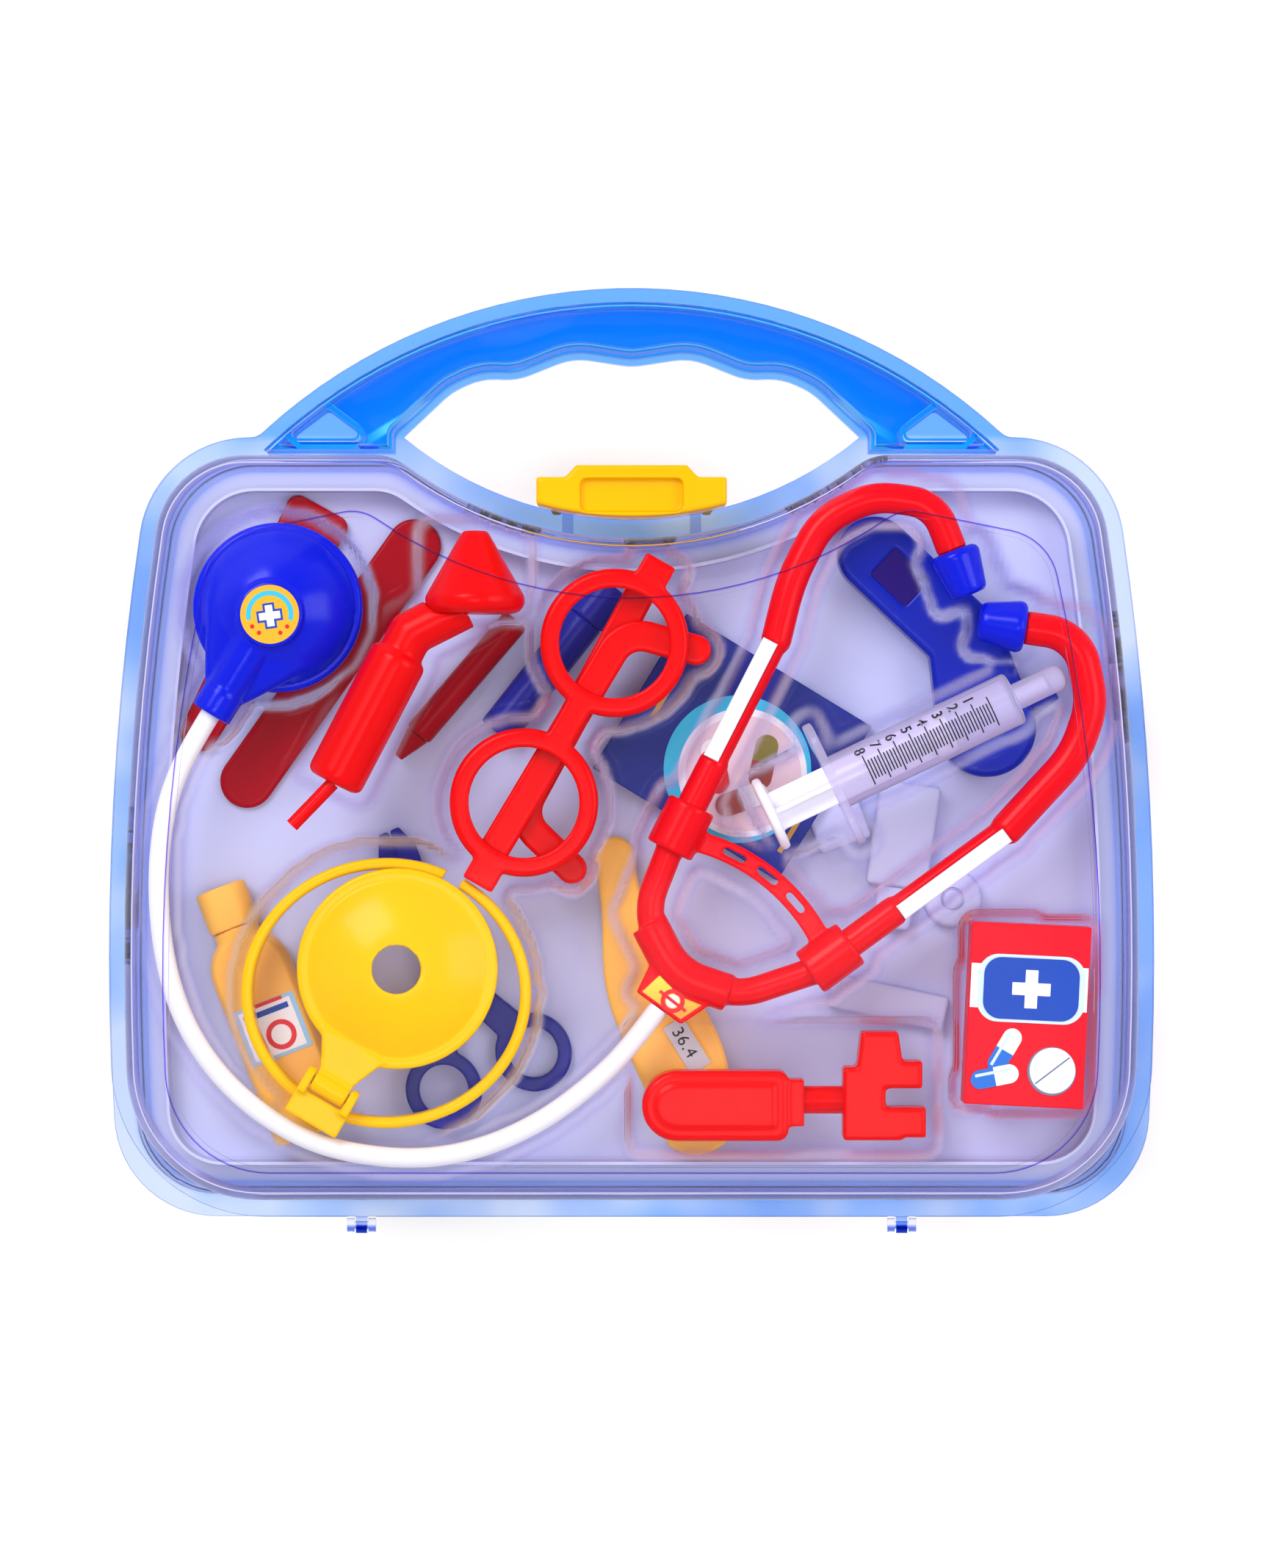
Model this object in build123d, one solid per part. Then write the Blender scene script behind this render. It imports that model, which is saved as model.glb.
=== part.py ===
from build123d import *
import os
from math import asin, atan2, cos, degrees, hypot, pi, radians, sin, tan

# A clear carry case of toy doctor's tools, lying closed on its back.
# +X is to the right and +Y towards the handle, seen from the front, and +Z comes out of
# the cover. The origin is under the middle of the case, on the surface it lies on.
# All lengths are in millimetres.

# ---- Case: plan shape of both halves ----
side_room = 9.55         # from the stethoscope's tube to the case's side
bulge_y = -22.0          # height on the plan at which the sides bulge most
top_y = 88.0             # top edge of the body
top_tuck = 12.0          # the sides' top ends, in from the bulge
base_y = -124.0          # bottom edge of the body
base_tuck = 2.5          # the sides' bottom ends, in from the bulge
notch_half = 62.0        # half width of the hollow under the handle
notch_y = 65.6           # lowest point of that hollow
top_corner_r = 30.0
back_corner_r = 28.0     # lower corners of the back shell
cover_corner_r = 42.0    # lower corners of the cover, cut back further
handle_rise = 40.6       # top of the handle, above the body's top edge
foot_run = 2.3           # straight edge between the handle's foot and the body's corner
foot_r = 5.0             # between the handle's foot and the body

# ---- Case: depth ----
case_depth = 62.0
parting_z = 32.0         # where the two halves meet
parting_gap = 0.2
wall = 1.6
flange_width = 6.0
flange_thick = 2.0
back_edge_r = 6.0        # rounded edge round the back
shoulder_r = 7.0         # rounded edge round the cover
panel_step = 1.5         # the cover's middle stands proud
handle_depth = 13.0      # depth of each half of the handle
handle_rim = 4.5         # flat rim along the outer arc of the handle
grip_rim = 2.6           # flat rim along the finger grooves
groove_dip = 19.2        # finger grooves: middle dip, above the top edge
groove_points = [(46.0, 21.6), (31.0, 15.6), (21.0, 16.0), (13.0, 12.2)]   # in from the hollow's end
groove_r = 17.0          # bends between the finger grooves
window_points = [(33.0, -1.0), (21.0, 8.0), (9.0, -1.0)]      # windows, out from the hollow's end
window_r = 1.5
brow_r = 14.0            # bends of the tub's wall beside the latch

# ---- Hinge, along the bottom edge ----
hinge_x = 73.5           # each hook's distance from the middle
hook_width = 3.0
hook_r = 2.2
hook_tip_y = -128.6
hinge_pin_r = 1.0
hinge_play = 0.06        # radial clearance of the pin in its hook
lug_gap = 0.4            # between a hook and the lugs beside it
lug_width = 2.0

# ---- Latch ----
latch_half = 25.8
latch_wing_y = 76.8
latch_ridge_y = 80.0
latch_ridge_half = 15.0
latch_back_z = 25.0
latch_front_z = 43.0
latch_gap = 0.4          # between the latch and the flanges under it
latch_wall = 1.8
latch_cap = 4.5          # thickness under the recess
latch_recess = (9.0, 2.4)    # width and depth of the thumb recess
latch_recess_at = 6.3    # its middle, above the hollow's lowest point
latch_arm_width = 2.5
latch_arm_gap = 0.3      # between an arm of the latch and the ear beside it
latch_pivot_y = 70.0
latch_pivot_z = 21.5
latch_pin_r = 1.2
latch_play = 0.05
latch_eye_r = 2.6
ear_x = 17.5             # ears of the back shell that hold the latch
ear_width = 3.0

# ---- Cover's raised middle ----
panel_margin = 16.3      # its edge, in from the case's side at the widest
panel_wide_y = -45.0
panel_top_tuck = 13.7    # its upper corners, in from its widest
panel_top_y = 59.5
panel_peak_half = 72.0   # the two peaks beside the hollow under the handle
panel_peak_y = 67.5
panel_dip_y = 43.6
panel_base_y = -110.4
panel_base_tuck = 2.7    # its lower corners, in from its widest
panel_corner_r = 16.0
panel_peak_r = 12.0

# ---- Trays ----
tray_thick = 0.8         # flat part of the front tray
cup_thick = 0.6          # walls and floors of its pockets
tray_gap = 0.3           # between a tray and the shell round it
pocket_z = 20.0          # floor of the deep pockets
pocket_margin = 1.5      # room round each toy in its pocket
rear_tray_inset = 12.6
rear_tray_height = 10.0

# ---- Stethoscope ----
ear_r = 7.5
ear_len = 13.0
ear_end_r = 5.2
chest_x = -96.9
chest_y = 42.0
chest_turn = -121.8      # way the neck points, in degrees
chest_r = 23.3
chest_base = 5.0         # height of the ring round the diaphragm
dome_r = 21.5
dome_rise = 11.0
badge_r = 9.0            # flat on the dome
badge_rise = 0.2         # its edge above the dome's top
badge_shift = 2.6        # from the middle of the dome towards the neck
badge_depth = 4.0
sticker_r = 8.0
sticker_thick = 0.25
neck_len = 34.35         # from the middle of the chestpiece to the end of its neck
neck_r = 5.3
neck_root_r = 7.4
membrane_r = 20.5
membrane_thick = 1.0
tube_d = 5.5
tube_reach = 129.2       # how far left the tube's middle line goes
yoke_r = 3.8             # bent tube of the yoke
sleeve_r = 5.2           # thicker middle of the yoke
plate_thick = 5.0
ring_r = 6.8             # rings of the bridge strap
ring_len = 14.0
ring_play = 0.05
joint_gap = 0.2          # between the yoke's end and the arm's, inside a ring
strap_width = 5.8
strap_thick = 2.4
slot_len = 7.0
slot_width = 2.0
arm_r = 4.2
rail_r = 3.5             # slim middle of each arm
insert_width = 4.4
insert_len = 36.0
insert_depth = 3.6
insert_proud = 0.6
insert_play = 0.05
arm_spread_r = 4.6       # right arm's upper end is thicker

# ---- Otoscope ----
oto_head_r = 13.6
oto_head_x = -42.6
oto_head_y = 44.6        # middle of the wide end of the head
oto_cone_len = 18.0
oto_band_len = 4.6
oto_handle_r = 8.0
oto_handle_len = 40.0
oto_handle_x = -62.8     # upper end of the handle
oto_handle_y = 29.4
oto_turn = 62.5          # way the handle points, in degrees
oto_neck_r = 6.2
oto_neck_rise = 6.0      # straight part of the neck, above the handle
oto_rod_r = 1.9
oto_rod_len = 16.0
oto_rod_turn = 46.0

# ---- Glasses ----
glasses_x = -17.0
glasses_y = 10.4         # middle of the nose bridge
glasses_turn = 60.4
lens_half = 25.0         # from the bridge to the middle of a rim
rim_r = 20.3
rim_hole_r = 15.1
rim_thick = 4.8
bridge_width = 7.0
temple_width = 8.4
temple_thick = 3.6
temple_gap = 0.3
temple_bend_r = 9.0
temple_bend = (29.5, -0.8)   # where each folded arm bends, and where it ends
temple_tip = (34.4, -20.2)
hinge_block = 6.5        # length of each hinge block, along the front
hinge_block_width = 9.0
glasses_pin_r = 1.1
glasses_eye_r = 1.8
glasses_eye_width = 5.2
glasses_play = 0.05

# ---- Head mirror ----
band_x = -67.0
band_y = -63.4
band_a = 39.6            # outer half width of the band
band_b = 36.9            # outer half height
band_thick = 3.1
band_height = 9.6
band_gap = 5.0
mirror_turn = -120.2     # way the clamp lies from the middle of the band, in degrees
mirror_x = -63.8
mirror_y = -56.6
mirror_r = 27.5
mirror_rise = 9.0
mirror_thick = 1.8
mirror_hole_r = 6.6
mirror_z = 31.0          # rim of the mirror
mirror_pivot = 30.0      # pivot's distance from the middle of the band
mirror_pivot_z = 33.0
mirror_pin_r = 1.3
mirror_eye_r = 3.0
mirror_eye_width = 10.4
mirror_play = 0.05
clamp_half = 8.0
clamp_start = 33.5
clamp_end = 41.0
clamp_top = 34.0
clamp_ear = 2.4          # thickness of each ear
clamp_gap = 0.3          # between the ears and the mirror's eye

# ---- Syringe ----
syringe_x = 54.0         # middle of the finger flange
syringe_y = -6.8
syringe_turn = 25.5
barrel_r = 7.5
bore_r = 6.6
barrel_len = 56.0
grip_len = 36.0          # finger flange
grip_thick = 2.6
thumb_r = 10.5
thumb_thick = 2.6
plunger_out = 16.5       # how far the plunger stands out
piston_at = 36.0         # the piston's front, from the flange
piston_len = 6.0
piston_play = 0.07
rod_width = 11.0
rod_web = 1.6
nozzle_r = 3.7
nozzle_len = 14.6
spout_r = 2.2            # barrel's own spout, inside the cap
spout_len = 9.0
cap_play = 0.05

# ---- Reflex hammer ----
hammer_y = -94.0
hammer_x = 2.8           # left end of the handle
hammer_handle_len = 40.0
hammer_handle_width = 19.2
hammer_thick = 13.0
collar_len = 4.2
collar_width = 12.8
shaft_r = 3.8
shaft_len = 10.6
hammer_head_width = 16.2
hammer_head_height = 20.0
boss_height = 9.6
boss_base = 12.4
boss_top = 10.0
boss_inset = 3.8         # from the head's left side to the boss
tab_len = 6.4
tab_width = 7.4
tab_notch = 4.6          # depth of the notch between the tabs
grip_border = 4.0        # rim round the raised middle of the handle
grip_rise = 0.6          # of the raised middle
shaft_socket = 6.0       # how deep the shaft sits in the handle
shaft_tip = 5.0          # how deep it sits in the head

# ---- Boxes of pretend medicine ----
carton_x = 107.6
carton_y = -69.2
carton_turn = -2.8
carton_width = 32.5
carton_height = 49.5
carton_depth = 16.0
card_x = 27.75
card_y = 3.85
card_turn = -31.4
card_width = 59.9
card_height = 50.0
card_depth = 8.0

# ---- Bottle ----
bottle_x = -114.0        # top of the cap
bottle_y = -34.8
bottle_turn = -68.8
bottle_cap_r = 7.2
bottle_cap_len = 12.0
bottle_neck_r = 6.4
bottle_neck_len = 3.0
bottle_shoulder = 10.0
bottle_r = 11.4
bottle_len = 73.0        # cap to base
bottle_thick = 12.6      # its front and back are flat
bottle_label_len = 16.0
bottle_label_at = 8.8    # from the shoulder to the label
label_thick = 0.2

# ---- Clinical thermometer ----
thermo_thick = 12.0
thermo_top = [(-10.6, -28.5), (-5.2, -20.8), (1.2, -28.0)]      # rounded narrow end
thermo_right = [(7.4, -48.0), (20.6, -69.0)]
thermo_base = [(27.4, -90.0), (22.6, -107.6), (10.0, -106.0)]    # rounded wide end
thermo_left = [(0.6, -84.0), (-7.6, -60.0), (-8.2, -46.0)]
thermo_edge_r = 2.0
display_at = (15.2, -78.4)
display_turn = -58
display_len = 15.0
display_width = 6.4
display_depth = 0.8

# ---- Scissors ----
scissors_x = -39.6       # middle, between the finger loops
scissors_y = -85.8
scissors_turn = 112.7
blade_thick = 2.2
blade_gap = 0.3
scissors_len = 72.0
pivot_at = 34.0          # pivot's distance from the loops' middle
rivet_r = 2.0
rivet_head_r = 3.6
rivet_head = 1.0
rivet_play = 0.05
loop_out = 11.0
loop_in = 7.0
loop_squeeze = 0.96      # the loops' width against their length
loop_spread = 13.4

# ---- Other flat tools of the back layer ----
depressor_width = 15.0
depressor_thick = 2.4
depressor_from = (-106.7, -5.5)
depressor_to = (-60.4, 59.7)
spatula_from = (-122.0, 4.0)
spatula_to = (-85.7, 70.6)
spatula_tip_width = 10.0
spatula_end_width = 19.0
spatula_thick = 3.0
probe_r = 4.0
probe_from = (-59.4, 7.2)
probe_to = (-32.0, 39.2)
probe_tip_len = 8.0
torch_r = 5.9
torch_from = (-37.4, 7.9)
torch_to = (-5.4, 48.6)
torch_cap_len = 12.0

# ---- Ear scope ----
scope_from = (67.0, 57.2)    # the body bends between its upper end and its round end
scope_bend = (92.0, 33.6)
scope_to = (98.0, 9.2)
scope_width = 20.6
scope_thick = 12.0
scope_disc_r = 13.6
scope_probe_to = (116.0, 20.8)
scope_probe_r = 5.4
scope_window_width = 10.0
scope_window_len = 13.0
scope_window_at = 9.5    # from the upper end's middle to the window's

tube_r = tube_d / 2
case_half = tube_reach + tube_r + side_room
top_half = case_half - top_tuck
base_half = case_half - base_tuck
panel_half = case_half - panel_margin
panel_top_half = panel_half - panel_top_tuck
panel_base_half = panel_half - panel_base_tuck
foot_x = top_half - top_corner_r + foot_run
handle_top = top_y + handle_rise
handle_r = (foot_x**2 + handle_rise**2) / (2 * handle_rise)
hook_y = hook_tip_y + hook_r
handle_cy = handle_top - handle_r
cover_z = parting_z + parting_gap
steth_z = pocket_z + ear_r
floor_z = wall + tray_thick      # top of the rear tray, where the back layer lies


def body_face(corner_r):
    """Plan of the case body, with its hollow under the handle."""
    edges = [
        ThreePointArc((top_half, top_y), (case_half, bulge_y), (base_half, base_y)),
        Line((base_half, base_y), (-base_half, base_y)),
        ThreePointArc((-base_half, base_y), (-case_half, bulge_y), (-top_half, top_y)),
        Line((-top_half, top_y), (-notch_half, top_y)),
        ThreePointArc((-notch_half, top_y), (0, notch_y), (notch_half, top_y)),
        Line((notch_half, top_y), (top_half, top_y)),
    ]
    face = make_face(edges)
    low = face.vertices().filter_by_position(Axis.Y, base_y - 1, base_y + 1)
    face = fillet(low, corner_r)
    far = [v for v in face.vertices() if abs(v.Y - top_y) < 1 and abs(v.X) > notch_half + 20]
    return fillet(far, top_corner_r)


def grip_face(margin=0.0):
    """The grip opening, waved for four fingers, down to below the body's top edge."""
    low_y = notch_y - 10
    right = [(notch_half - inset, top_y + rise) for inset, rise in groove_points]
    left = [(-x, y) for x, y in reversed(right)]
    face = make_face(Polyline((-notch_half, low_y), (-notch_half, top_y), *left, (0, top_y + groove_dip),
                              *right, (notch_half, top_y), (notch_half, low_y), close=True))
    face = fillet([v for v in face.vertices() if v.Y > top_y + 1], groove_r)
    if margin:
        face = offset(face, amount=margin)
    return face


def above(y, face):
    """The part of a plan above a line."""
    keep = Pos(0, y + 100) * Rectangle(400, 200)
    return face & keep


def silhouette(corner_r):
    """Plan of a whole half, body and handle together, at the flange."""
    bow = above(top_y - 12, Pos(0, handle_cy) * Circle(handle_r)) - grip_face()
    body = body_face(corner_r)
    plan = body + bow
    feet = [v for v in plan.vertices() if abs(v.Y - top_y) < 0.5 and abs(abs(v.X) - foot_x) < 1]
    corner_x = max(v.X for v in body.vertices() if abs(v.Y - top_y) < 0.5)
    straight = corner_x - foot_x
    return fillet(feet, min(foot_r, 0.95 * straight / tan(asin(foot_x / handle_r) / 2)))


def tub_face(corner_r, inset):
    """Plan of the body's walls, inside the flange."""
    face = offset(body_face(corner_r), amount=-inset)
    brow = [v for v in face.vertices() if v.Y > notch_y and abs(v.X) < notch_half + 12]
    return fillet(brow, brow_r)


def window_face(side):
    """The three-cornered window at a foot of the handle."""
    corners = [(side * (notch_half + run), top_y + rise) for run, rise in window_points]
    return fillet(make_face(Polyline(*corners, close=True)).vertices(), window_r)


def channel_face(inset):
    """Plan of the handle's channel, without its windows."""
    ring = Pos(0, handle_cy) * Circle(handle_r - handle_rim - inset)
    return above(top_y - 4 + inset, ring) - grip_face(grip_rim + inset)


def windows(margin, low, high):
    """The two windows raised between two heights."""
    left = slab(offset(window_face(-1), amount=margin), low, high)
    return left + slab(offset(window_face(1), amount=margin), low, high)


def slab(face, low, high):
    """A plan raised into a plate between two heights."""
    return Pos(0, 0, low) * extrude(face, amount=high - low)


def edges_at(solid, z):
    """The edges of a solid that lie flat at one height."""
    return solid.edges().filter_by_position(Axis.Z, z - 0.01, z + 0.01)


def rod(radius, start, end):
    """A round bar between two points."""
    line = Vector(*end) - Vector(*start)
    place = Plane(origin=start, z_dir=line)
    return place * Cylinder(radius, line.length, align=(Align.CENTER, Align.CENTER, Align.MIN))


def cone(low_r, high_r, start, end):
    """A tapered round bar between two points."""
    line = Vector(*end) - Vector(*start)
    place = Plane(origin=start, z_dir=line)
    return place * Cone(low_r, high_r, line.length, align=(Align.CENTER, Align.CENTER, Align.MIN))


def block(length, width, low, high, x=0.0, y=0.0):
    """An upright block between two heights, placed by its middle."""
    return slab(Pos(x, y) * Rectangle(length, width), low, high)


def bend(radius, points, radii, z):
    """A round bar bent along a flat route."""
    route = FilletPolyline(*[(x, y, z) for x, y in points], radius=radii)
    start = Plane(origin=route @ 0, z_dir=route % 0)
    return sweep(start * Circle(radius), path=route)


def strip(points, width):
    """Plan of a strip with round ends and corners along a route."""
    plan = Pos(*points[0]) * Circle(width / 2)
    for (x0, y0), (x1, y1) in zip(points, points[1:]):
        middle = Pos((x0 + x1) / 2, (y0 + y1) / 2) * Rot(0, 0, degrees(atan2(y1 - y0, x1 - x0)))
        plan += middle * Rectangle(hypot(x1 - x0, y1 - y0), width)
        plan += Pos(x1, y1) * Circle(width / 2)
    return plan


def along(x, y, turn, distance, side=0.0):
    """The point at a distance along a direction, and to the left of it."""
    c = cos(radians(turn))
    s = sin(radians(turn))
    return (x + c * distance - s * side, y + s * distance + c * side)


# ================= Case =================
def panel_face(inset=0.0):
    """Plan of the cover's raised middle."""
    face = make_face([
        ThreePointArc((panel_top_half, panel_top_y), (panel_half, panel_wide_y),
                      (panel_base_half, panel_base_y)),
        Line((panel_base_half, panel_base_y), (-panel_base_half, panel_base_y)),
        ThreePointArc((-panel_base_half, panel_base_y), (-panel_half, panel_wide_y),
                      (-panel_top_half, panel_top_y)),
        Line((-panel_top_half, panel_top_y), (-panel_peak_half, panel_peak_y)),
        ThreePointArc((-panel_peak_half, panel_peak_y), (0, panel_dip_y),
                      (panel_peak_half, panel_peak_y)),
        Line((panel_peak_half, panel_peak_y), (panel_top_half, panel_top_y)),
    ])
    low = [v for v in face.vertices() if v.Y < 0]
    face = fillet(low, back_corner_r)
    outer = [v for v in face.vertices() if v.Y > panel_top_y - 1 and abs(v.X) > panel_top_half - 1]
    face = fillet(outer, panel_corner_r)
    peaks = [v for v in face.vertices() if v.Y > panel_peak_y - 1]
    face = fillet(peaks, panel_peak_r)
    return offset(face, amount=-inset) if inset else face


def latch_ears():
    """The back shell's two ears that carry the latch."""
    root_y = notch_y - flange_width + 1
    ears = None
    for side in (-1, 1):
        near = side * ear_x - ear_width / 2
        far = side * ear_x + ear_width / 2
        eye = rod(latch_eye_r, (near, latch_pivot_y, latch_pivot_z), (far, latch_pivot_y, latch_pivot_z))
        arm = block(ear_width, latch_pivot_y - root_y, latch_pivot_z - latch_eye_r,
                    latch_pivot_z + latch_eye_r, side * ear_x, (latch_pivot_y + root_y) / 2)
        hole = rod(latch_pin_r + latch_play, (near - 1, latch_pivot_y, latch_pivot_z),
                   (far + 1, latch_pivot_y, latch_pivot_z))
        ear = eye + arm - hole
        ears = ear if ears is None else ears + ear
    return ears


def hinge_hooks():
    """The back shell's two hooks, open at the bottom so that the cover's pins snap in."""
    hooks = None
    for side in (-1, 1):
        near = side * hinge_x - hook_width / 2
        far = side * hinge_x + hook_width / 2
        eye = rod(hook_r, (near, hook_y, parting_z), (far, hook_y, parting_z))
        arm = block(hook_width, base_y + 1 - hook_y, parting_z - hook_r, parting_z - parting_gap,
                    side * hinge_x, (base_y + 1 + hook_y) / 2)
        hole = rod(hinge_pin_r + hinge_play, (near - 1, hook_y, parting_z), (far + 1, hook_y, parting_z))
        mouth = Pos(side * hinge_x, hook_y, parting_z) * Rot(-60, 0, 0) * Pos(0, 0, -hook_r)
        hook = eye + arm - hole - mouth * Box(hook_width + 1, 1.6 * hinge_pin_r, 2 * hook_r)
        hooks = hook if hooks is None else hooks + hook
    return hooks


def make_back_shell():
    handle_z = parting_z - handle_depth
    tub = slab(tub_face(back_corner_r, flange_width), 0, parting_z)
    tub = fillet(edges_at(tub, 0), back_edge_r)
    hollow = slab(tub_face(back_corner_r, flange_width + wall), wall, parting_z + 1)
    hollow = fillet(edges_at(hollow, wall), back_edge_r - wall)
    flange = slab(silhouette(back_corner_r), parting_z - flange_thick, parting_z)
    channel = slab(channel_face(0), handle_z, parting_z)
    channel = fillet(edges_at(channel, handle_z), 1.2)
    channel -= windows(0, handle_z - 1, parting_z - flange_thick)
    channel_hollow = slab(channel_face(wall), handle_z + wall, parting_z + 1)
    channel_hollow -= windows(wall, handle_z, parting_z + 2)
    seat = slab(tub_face(back_corner_r, flange_width - tray_gap), parting_z - tray_thick, parting_z + 1)
    shell = tub + flange + channel - hollow - channel_hollow - seat
    return shell + latch_ears() + hinge_hooks()


def hinge_pins():
    """The cover's lugs and pins, one pair at each hook."""
    pins = None
    reach = hook_width / 2 + lug_gap + lug_width
    for side in (-1, 1):
        middle = side * hinge_x
        group = rod(hinge_pin_r, (middle - reach, hook_y, parting_z), (middle + reach, hook_y, parting_z))
        for end in (-1, 1):
            lug_x = middle + end * (reach - lug_width / 2)
            group += rod(hook_r - 0.4, (lug_x - lug_width / 2, hook_y, parting_z),
                         (lug_x + lug_width / 2, hook_y, parting_z))
            group += block(lug_width, base_y + 1 - hook_y, cover_z, cover_z + hook_r - 0.4 - parting_gap,
                           lug_x, (base_y + 1 + hook_y) / 2)
        pins = group if pins is None else pins + group
    return pins


def make_front_cover():
    shelf_z = case_depth - panel_step
    handle_z = parting_z + handle_depth
    tub = slab(tub_face(cover_corner_r, flange_width), cover_z, shelf_z)
    tub = fillet(edges_at(tub, shelf_z), shoulder_r)
    hollow = slab(tub_face(cover_corner_r, flange_width + wall), cover_z - 1, shelf_z - wall)
    hollow = fillet(edges_at(hollow, shelf_z - wall), shoulder_r - wall)
    panel = slab(panel_face(), shelf_z - wall, case_depth)
    panel = fillet(edges_at(panel, case_depth), panel_step * 0.6)
    panel_hollow = slab(panel_face(wall), shelf_z - wall - 1, case_depth - wall)
    flange = slab(silhouette(cover_corner_r), cover_z, cover_z + flange_thick)
    channel = slab(channel_face(0), cover_z, handle_z)
    channel = fillet(edges_at(channel, handle_z), 1.2)
    channel -= windows(0, cover_z + flange_thick, handle_z + 1)
    channel_hollow = slab(channel_face(wall), cover_z - 1, handle_z - wall)
    channel_hollow -= windows(wall, cover_z - 2, handle_z)
    cover = tub + panel + flange + channel - hollow - panel_hollow - channel_hollow
    return cover + hinge_pins()


def make_latch():
    arc_r = (notch_half**2 + (top_y - notch_y)**2) / (2 * (top_y - notch_y))
    arc_y = notch_y + arc_r
    outline = make_face(Polyline(
        (-latch_half, notch_y), (latch_half, notch_y), (latch_half, latch_wing_y),
        (latch_ridge_half + 3, latch_wing_y), (latch_ridge_half, latch_ridge_y),
        (-latch_ridge_half, latch_ridge_y), (-latch_ridge_half - 3, latch_wing_y),
        (-latch_half, latch_wing_y), close=True))
    plan = outline & (Pos(0, arc_y) * Circle(arc_r - latch_gap))
    body = slab(plan, latch_back_z, latch_front_z)
    body = fillet(edges_at(body, latch_front_z), 1.0)
    inner = offset(plan, amount=-latch_wall)
    body -= slab(inner, latch_back_z - 1, latch_front_z - latch_cap)
    recess_width, recess_depth = latch_recess
    recess = fillet(Rectangle(2 * latch_ridge_half - 2, recess_width).vertices(), 2)
    body -= slab(Pos(0, notch_y + latch_recess_at) * recess, latch_front_z - recess_depth,
                 latch_front_z + 1)
    arm_half = latch_arm_width / 2
    arm_x = ear_x + ear_width / 2 + latch_arm_gap + arm_half
    for side in (-1, 1):
        near = side * (arm_x - arm_half)
        far = side * (arm_x + arm_half)
        low_y = latch_pivot_y - latch_eye_r
        arm = rod(latch_eye_r, (near, latch_pivot_y, latch_pivot_z), (far, latch_pivot_y, latch_pivot_z))
        arm += block(latch_arm_width, 2 * latch_eye_r, latch_pivot_z, latch_back_z + arm_half,
                     side * arm_x, low_y + latch_eye_r)
        pin = rod(latch_pin_r, (side * (ear_x - ear_width / 2), latch_pivot_y, latch_pivot_z),
                  (far, latch_pivot_y, latch_pivot_z))
        body += arm + pin
    return body


# ================= Stethoscope =================
neck_end = along(chest_x, chest_y, chest_turn, neck_len)
tube_route = [
    neck_end, (-121.38, 2.52), (-126.8, -10.5), (-tube_reach, -25.5), (-tube_reach, -41.5),
    (-127.0, -57.5), (-121.8, -72.5), (-113.0, -85.8), (-101.2, -96.6), (-86.8, -104.6),
    (-70.4, -108.2), (-54.0, -108.6), (-38.4, -105.0), (-23.8, -98.0), (-11.2, -88.6),
    (-0.6, -78.5), (7.4, -67.5),
]
left_ring = (13.4, -18.2)
left_turn = 63.0
right_ring = (54.2, -53.8)
right_turn = 36.2
yoke_points = [(9.5, -26.5), (3.4, -42.0), (12.0, -58.5), (29.0, -64.2), (49.0, -57.6)]
yoke_bends = [18, 18, 20]
sleeve_points = [(4.8, -44.7), (12.0, -58.5), (26.5, -63.4)]
plate_points = [(1.35, -63.1), (13.45, -71.9), (22.6, -65.8), (24.0, -61.5), (8.0, -50.0), (6.0, -53.4)]
label_points = [(2.9, -62.9), (13.4, -70.4), (19.0, -66.6), (12.0, -63.8), (8.6, -57.6)]
strap_start = (16.5, -21.6)
strap_middle = (37.0, -31.4)
strap_end = (51.6, -49.0)
left_rail = (along(*left_ring, left_turn, 19.5), along(*left_ring, left_turn, 57.5))
right_rail = (along(*right_ring, right_turn, 21.5), along(*right_ring, right_turn, 60.0))
left_crook = [left_rail[1], (43.5, 49.5), (52.2, 66.0), (66.2, 72.4), (82.6, 70.2), (87.6, 57.4)]
left_crook_r = [60, 20, 20, 11]
arm_out = case_half - 15.7          # how far right the right arm goes
right_crook = [right_rail[1], (arm_out - 4.8, 1.5), (arm_out, 15.5), (arm_out - 3.8, 34.3),
               (arm_out - 18.2, 36.4)]
right_crook_r = [30, 20, 12]


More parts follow.
